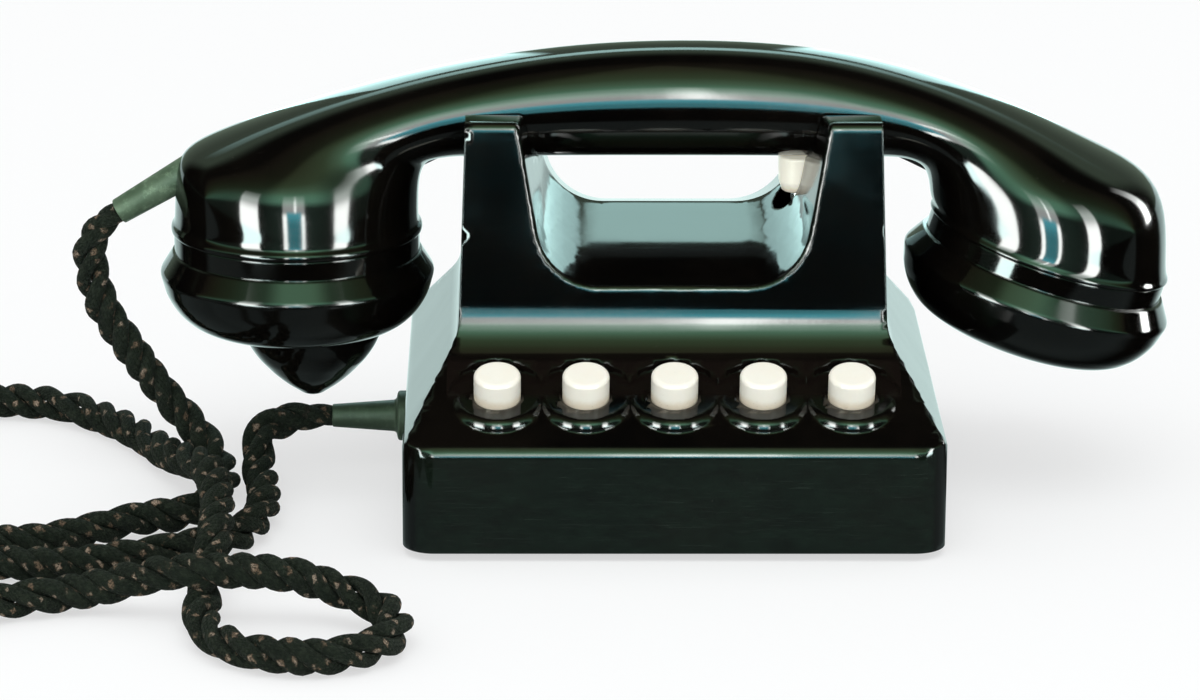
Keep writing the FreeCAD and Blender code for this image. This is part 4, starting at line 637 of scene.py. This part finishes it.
# each section: inner x and z, outer x and z, half width
handsetSizes = {
    "middle": 7.0,
    "sections": [
        (-59.9, 61.8, -120.1, 61.8, 30.1), (-59.7, 62.1, -120.3, 62.1, 30.3),
        (-59.7, 63.4, -120.3, 63.4, 30.3),
        (-60.5, 63.8, -119.5, 63.9, 29.2), (-60.7, 64.8, -119.3, 66.3, 28.9),
        (-60.7, 69.2, -119.1, 73.8, 28.1), (-60.5, 74.2, -118.3, 79.8, 26.4),
        (-59.5, 77.9, -113.6, 83.2, 23.2), (-57.6, 79.9, -101.8, 88.0, 19.4),
        (-55.0, 80.5, -86.8, 93.2, 17.1), (-52.2, 80.6, -70.8, 98.0, 15.9),
        (-49.54, 80.6, -54.5, 102.0, 15.2), (-36, 80.6, -36, 105.4, 15), (-18, 80.6, -18, 107.5, 15),
        (2, 80.6, 2, 108.3, 15), (22, 80.6, 22, 107.7, 15), (38, 80.6, 38, 105.9, 15),
        (52.85, 80.6, 54, 102.4, 15.2), (56.0, 80.5, 70, 97.4, 16.2), (59.0, 79.6, 87, 90.5, 18.7),
        (61.2, 77.6, 103.5, 82.0, 23.0), (62.5, 74.2, 115.2, 76.4, 26.2), (62.8, 69.9, 120.2, 67.4, 28.2),
        (63.75, 68.5, 120.0, 52.0, 29.3), (63.1, 67.9, 120.7, 50.6, 30.3), (62.9, 67.3, 120.8, 49.9, 30.3),
        (63.3, 67.0, 120.4, 49.6, 30.0),
    ],
    "sides": 64, "crease": 0.9, "levels": 2,
}


def handsetForm():
    sides = handsetSizes["sides"]
    bm = bmesh.new()
    crease = bm.edges.layers.float.new("crease_edge")
    loops = []
    for innerX, innerZ, outerX, outerZ, half in handsetSizes["sections"]:
        before = set(bm.edges)
        ring = bmesh.ops.create_circle(bm, cap_ends=False, segments=sides, radius=1.0)
        centre = Vector(((innerX + outerX) / 2, handsetSizes["middle"], (innerZ + outerZ) / 2)) * mm
        reach = Vector(((outerX - innerX) / 2, 0, (outerZ - innerZ) / 2)) * mm
        across = Vector((0, half, 0)) * mm
        normal = reach.cross(across).normalized()
        matrix = Matrix((reach, across, normal)).transposed().to_4x4()
        matrix.translation = centre
        bmesh.ops.transform(bm, matrix=matrix, verts=ring["verts"])
        loops.append([edge for edge in bm.edges if edge not in before])
    for first, second in zip(loops, loops[1:]):
        bmesh.ops.bridge_loops(bm, edges=first + second)
    bmesh.ops.contextual_create(bm, geom=loops[0])
    bmesh.ops.contextual_create(bm, geom=loops[-1])
    for edge in loops[0] + loops[-1]:
        edge[crease] = handsetSizes["crease"]
    bmesh.ops.recalc_face_normals(bm, faces=bm.faces[:])
    return bm


handset = addPiece("handsetMoulding", handsetForm(), "black_bakelite", "handset",
                   ("handset_shell",), 0, False)
finer = handset.modifiers.new("finer", "SUBSURF")
finer.levels = finer.render_levels = handsetSizes["levels"]
print("handset made")


# profiles are (radius, height), rounds are (corner, setback, segments)
capSizes = {
    "mouth": {
        "profile": [(0, -24), (24.4, -24), (31.2, -17.4), (33, -10.7), (33, -9.8), (30.0, -5),
                    (29.6, -5), (29.6, -0.1), (27, -0.1), (27, 3)],
        "origin": (-90.0, 7.0, 61.8), "tilt": 0.0,
    },
    "ear": {
        "profile": [(0, -24), (24.8, -24), (31.6, -17.4), (33.4, -10.7), (33.4, -9.8), (30.4, -5),
                    (29.6, -5), (29.6, -0.1), (27, -0.1), (27, 3)],
        "origin": (91.9, 7.0, 58.4), "tilt": 17.0,
    },
    "rounds": [(1, 4.5, 10), (2, 3.6, 10), (3, 0.4, 3), (4, 0.7, 5), (7, 0.3, 3)],
}
for side, name, node in (("mouth", "mouthpieceCap", "mouthpiece_cap"),
                         ("ear", "receiverCap", "receiver_cap")):
    sizes = capSizes[side]
    tilt = Matrix.Rotation(math.radians(sizes["tilt"]), 4, "Y")
    capForm = spun(sizes["profile"], capSizes["rounds"])
    placed(capForm, Matrix.Translation(Vector(sizes["origin"]) * mm) @ tilt)
    addPiece(name, capForm, "black_bakelite", "handset", (node,))

spoutSizes = {
    "profile": [(0, 20), (1.9, 20), (8.2, 24.3), (14.5, 31.0), (17.1, 36.7), (17.1, 41)],
    "rounds": [(1, 1.3, 6), (2, 3.2, 8), (3, 3.0, 8), (4, 1.8, 6)],
    "origin": (-86.6, 7.0, 0.0), "steps": 80,
}
spoutForm = spun(spoutSizes["profile"], spoutSizes["rounds"], spoutSizes["steps"])
placed(spoutForm, Matrix.Translation(Vector(spoutSizes["origin"]) * mm))
addPiece("mouthSpout", spoutForm, "black_bakelite", "handset")
for number in range(1, 6):
    keySpring(number)
print("key springs made")
print("caps made")


sleeveSizes = {
    "handsetSleeve": {
        "profile": [(0, -6), (4.0, -6), (3.16, 17), (2.4, 17), (2.4, 8), (0, 8)],
        "rounds": [(1, 0.4, 3), (2, 0.35, 3)],
        "origin": (-118.3, 7, 74.6), "direction": (-0.857, 0, -0.515),
        "body": "handset", "node": "handset_sleeve",
    },
    "baseSleeve": {
        "profile": [(0, 0), (6.1, 0), (6.1, 2.4), (3.9, 2.9), (2.77, 18.5), (2.0, 18.5), (2.0, 10),
                    (0, 10)],
        "rounds": [(2, 0.6, 4), (3, 0.6, 4), (4, 0.4, 3)],
        "origin": (-63.5, 7.6, 14), "direction": (-1, 0, 0),
        "body": "base", "node": "cord_sleeve",
    },
}
for name, sizes in sleeveSizes.items():
    sleeve = placed(spun(sizes["profile"], sizes["rounds"], 40), along(sizes["origin"], sizes["direction"]))
    addPiece(name, sleeve, "grey_green_rubber", sizes["body"], (sizes["node"],))
print("sleeves made")


# headings are degrees from straight ahead of the front, to the right positive
stageSizes = {
    "floorShare": 0.6, "floorMirrored": 1.15, "worldDiffuse": 0.8, "windowPeak": 25.0, "backStrip": 4.0,
    "sky": 4.0, "edge": 1.2, "middle": (-9.5, 11.0), "pane": (-6.0, 8.0), "left": (-50.0, -31.0),
    "right": (36.0, 50.0), "rear": (108.0, 120.0),
}
degrees = 180.0 / math.pi
paneBlue = (0.55, 2.8, 3.3)


def stagePlane(name, size, matrix, material):
    bm = bmesh.new()
    bmesh.ops.create_grid(bm, x_segments=1, y_segments=1, size=size)
    placed(bm, matrix)
    mesh = bpy.data.meshes.new(name)
    bm.to_mesh(mesh)
    bm.free()
    mesh.materials.append(material)
    plane = bpy.data.objects.new(name, mesh)
    bpy.context.scene.collection.objects.link(plane)
    return plane


def opening(graph, heading, name, edge=stageSizes["edge"]):
    low, high = stageSizes[name]
    return graph.within(heading, low, high, edge)


def whitePaper():
    # white to the camera; in reflections it is dark but for what the windows light on it
    paper = bpy.data.materials.new("whitePaper")
    f = Graph(paper)
    place = f.add("TexCoord", {}, {}, "Object")
    camera, mirrored = f.rays()
    across = f.part("X", place)
    back = f.part("Y", place)
    aside = f.within(across, -0.26, -0.055, 0.04) * f.within(back, -0.22, 0.10, 0.08) * 0.12
    behind = back.rise(-0.02, 0.08) * (back * 1.1 - across.math("ABSOLUTE")).rise(-0.13, -0.05)
    close = f.within(back, -0.175, 0.0, 0.03) * 0.16
    reach = (across * across + back * back).math("SQRT")
    heading = across.math("ARCTAN2", back * -1.0) * degrees
    glare = (opening(f, heading, "left") + opening(f, heading, "right")) * reach.rise(0.30, 0.42)
    lit = aside.math("MAXIMUM", behind).math("MAXIMUM", close) * stageSizes["floorMirrored"]
    level = camera + mirrored * (lit + glare * stageSizes["windowPeak"])
    far = opening(f, heading, "middle") * reach.rise(4.5, 8.0) * mirrored
    share = camera * stageSizes["floorShare"] + mirrored
    diffuse = f.add("BsdfDiffuse", {}, {"Color": (0.90, 0.915, 0.92)}, "BSDF")
    tone = f.blend(mirrored, (1.0, 1.0, 1.0), (0.78, 1.0, 0.97))
    tone = f.joined(f.scaled(tone, level), f.scaled(paneBlue, far))
    glow = f.add("Emission", {}, {"Color": tone, "Strength": 1.0}, "Emission")
    f.add("MixShader", {}, {0: share, 1: diffuse, 2: glow}, "Shader").into("OutputMaterial")
    return paper


def cardBoard():
    # the card's middle is clear, so that it lights the trough's side walls only
    board = bpy.data.materials.new("cardBoard")
    f = Graph(board)
    across = f.part("X", f.add("TexCoord", {}, {}, "Object")).math("ABSOLUTE")
    glow = f.add("Emission", {}, {"Color": (0.64, 1.0, 0.98), "Strength": 4.0}, "Emission")
    clear = f.add("BsdfTransparent", {}, {}, "BSDF")
    shader = f.add("MixShader", {}, {0: across.rise(0.042, 0.050), 1: clear, 2: glow}, "Shader")
    shader.into("OutputMaterial")
    return board


stagePlane("paperFloor", 6.0, Matrix.Identity(4), whitePaper())

# a white card behind the cradle, which only reflections see
cardPlace = Matrix.Translation(Vector((0, 150, 130)) * mm) @ Matrix.Rotation(math.pi / 2, 4, "X")
card = stagePlane("whiteCard", 1.0, cardPlace @ Matrix.Diagonal((0.115, 0.070, 1.0, 1.0)), cardBoard())
card.visible_camera = card.visible_diffuse = card.visible_shadow = False

# the room in reflections: three windows ahead, one behind at the right, and a sky between them
skyStops = (
    (0.0, (0.05, 0.09, 0.07)), (22.0, (0.05, 0.09, 0.07)), (31.0, (0.40, 0.92, 0.62)),
    (40.0, (0.38, 0.88, 0.56)), (50.0, (0.27, 0.51, 0.30)), (62.0, (0.15, 0.24, 0.12)),
    (78.0, (0.10, 0.12, 0.06)), (92.0, (0.065, 0.055, 0.036)), (99.0, (0.005, 0.005, 0.004)),
    (113.0, (0.005, 0.005, 0.004)), (126.0, (0.10, 0.14, 0.10)), (150.0, (0.06, 0.08, 0.06)),
)


def studioWorld():
    world = bpy.data.worlds.new("studio")
    bpy.context.scene.world = world
    f = Graph(world)
    direction = f.add("TexCoord", {}, {}, "Generated")
    x, y, z = (f.part(axis, direction) for axis in "XYZ")
    azimuth = x.math("ARCTAN2", y * -1.0) * degrees
    elevation = z.math("ARCSINE") * degrees
    arc = z.math("ARCTAN2", y * -1.0) * degrees
    middle = opening(f, azimuth, "middle")
    pane = opening(f, azimuth, "pane") * (1.0 - elevation.rise(14.0, 19.0))
    sides = opening(f, azimuth, "left") + opening(f, azimuth, "right") + opening(f, azimuth, "rear", 2.0)
    sides = sides * (1.0 - elevation.rise(10.0, 24.0) * 0.65)
    fading = 1.0 - elevation.rise(23.0, 40.0) * 0.75 - elevation.rise(38.0, 44.0) * 0.25
    height = elevation.rise(-7.0, -1.0) * fading
    core = f.within(azimuth, 0.9, 3.5, 0.9)
    upper = 1.0 - elevation.rise(11.0, 17.0) * (1.0 - core) * 0.76
    white = (middle * (1.0 - pane) * upper + sides) * height * stageSizes["windowPeak"]
    blue = middle * pane * height * (1.0 + elevation.rise(5.0, 14.0))
    stops = tuple((turn / 180.0, colour) for turn, colour in skyStops)
    sky = f.add("ValToRGB", {"stops": stops}, {0: arc * (1.0 / 180.0)}, "Color")
    fade = 0.35 + f.within(azimuth, -34.0, 40.0, 24.0) * 0.65
    over = arc.rise(112.0, 125.0)
    backward = (1.0 - x.math("ABSOLUTE").rise(0.55, 0.80)) * over
    skyLevel = ((1.0 - over) * fade + backward) * stageSizes["sky"]
    strip = f.within(arc, 131.5, 141.0, 1.5) * azimuth.math("ABSOLUTE").rise(140.0, 176.0)
    room = f.joined(
        f.scaled((0.97, 1.0, 0.97), white), f.scaled(sky, skyLevel), f.scaled(paneBlue, blue),
        f.scaled((0.62, 1.0, 0.98), strip * stageSizes["backStrip"]))
    camera, shiny = f.rays()
    plain = camera + (1.0 - camera.math("MAXIMUM", shiny)) * stageSizes["worldDiffuse"]
    plain = f.add("CombineXYZ", {}, {0: plain, 1: plain, 2: plain}, "Vector")
    tone = f.joined(f.scaled(room, shiny), plain)
    f.add("Background", {}, {"Color": tone}, "Background").into("OutputWorld")


studioWorld()


lampSizes = {
    "windowLight": {"azimuth": -4.0, "elevation": 13.0, "width": 3.0, "height": 1.1, "radiance": 2.2},
    "skyLight": {"azimuth": 10.0, "elevation": 68.0, "width": 3.0, "height": 2.0, "radiance": 1.6},
    "distance": 3.0, "aimHeight": 0.06, "tint": (0.97, 1.0, 1.0),
}


def softLamp(name):
    sizes = lampSizes[name]
    lamp = bpy.data.lights.new(name, "AREA")
    lamp.shape = "RECTANGLE"
    lamp.size = sizes["width"]
    lamp.size_y = sizes["height"]
    lamp.energy = sizes["radiance"] * math.pi * sizes["width"] * sizes["height"]
    lamp.color = lampSizes["tint"]
    holder = bpy.data.objects.new(name, lamp)
    bpy.context.scene.collection.objects.link(holder)
    turn, rise = math.radians(sizes["azimuth"]), math.radians(sizes["elevation"])
    aim = Vector((math.sin(turn) * math.cos(rise), -math.cos(turn) * math.cos(rise), math.sin(rise)))
    holder.location = aim * lampSizes["distance"] + Vector((0, 0, lampSizes["aimHeight"]))
    holder.rotation_euler = aim.to_track_quat("Z", "Y").to_euler()
    holder.visible_glossy = False


softLamp("windowLight")
softLamp("skyLight")

cameraSizes = {
    "position": (-33.8, -1200.8, 408.1), "pitch": 17.34, "yaw": 0.81, "roll": 0.28,
    "lens": 156.0, "sensor": 36.0,
}
pitch, yaw, roll = (math.radians(cameraSizes[key]) for key in ("pitch", "yaw", "roll"))
ahead = Vector((math.sin(yaw) * math.cos(pitch), math.cos(yaw) * math.cos(pitch), -math.sin(pitch)))
right = Vector((math.cos(yaw), -math.sin(yaw), 0.0))
up = right.cross(ahead)
rolledRight = right * math.cos(roll) + up * math.sin(roll)
rolledUp = up * math.cos(roll) - right * math.sin(roll)
cameraData = bpy.data.cameras.new("photoCamera")
cameraData.sensor_fit = "HORIZONTAL"
cameraData.sensor_width = cameraSizes["sensor"]
cameraData.lens = cameraSizes["lens"]
cameraData.clip_end = 50.0
cameraHolder = bpy.data.objects.new("photoCamera", cameraData)
bpy.context.scene.collection.objects.link(cameraHolder)
matrix = Matrix((rolledRight, rolledUp, -ahead)).transposed().to_4x4()
matrix.translation = Vector(cameraSizes["position"]) * mm
cameraHolder.matrix_world = matrix
bpy.context.scene.camera = cameraHolder
bpy.context.scene.view_settings.view_transform = "Standard"
print("stage made")
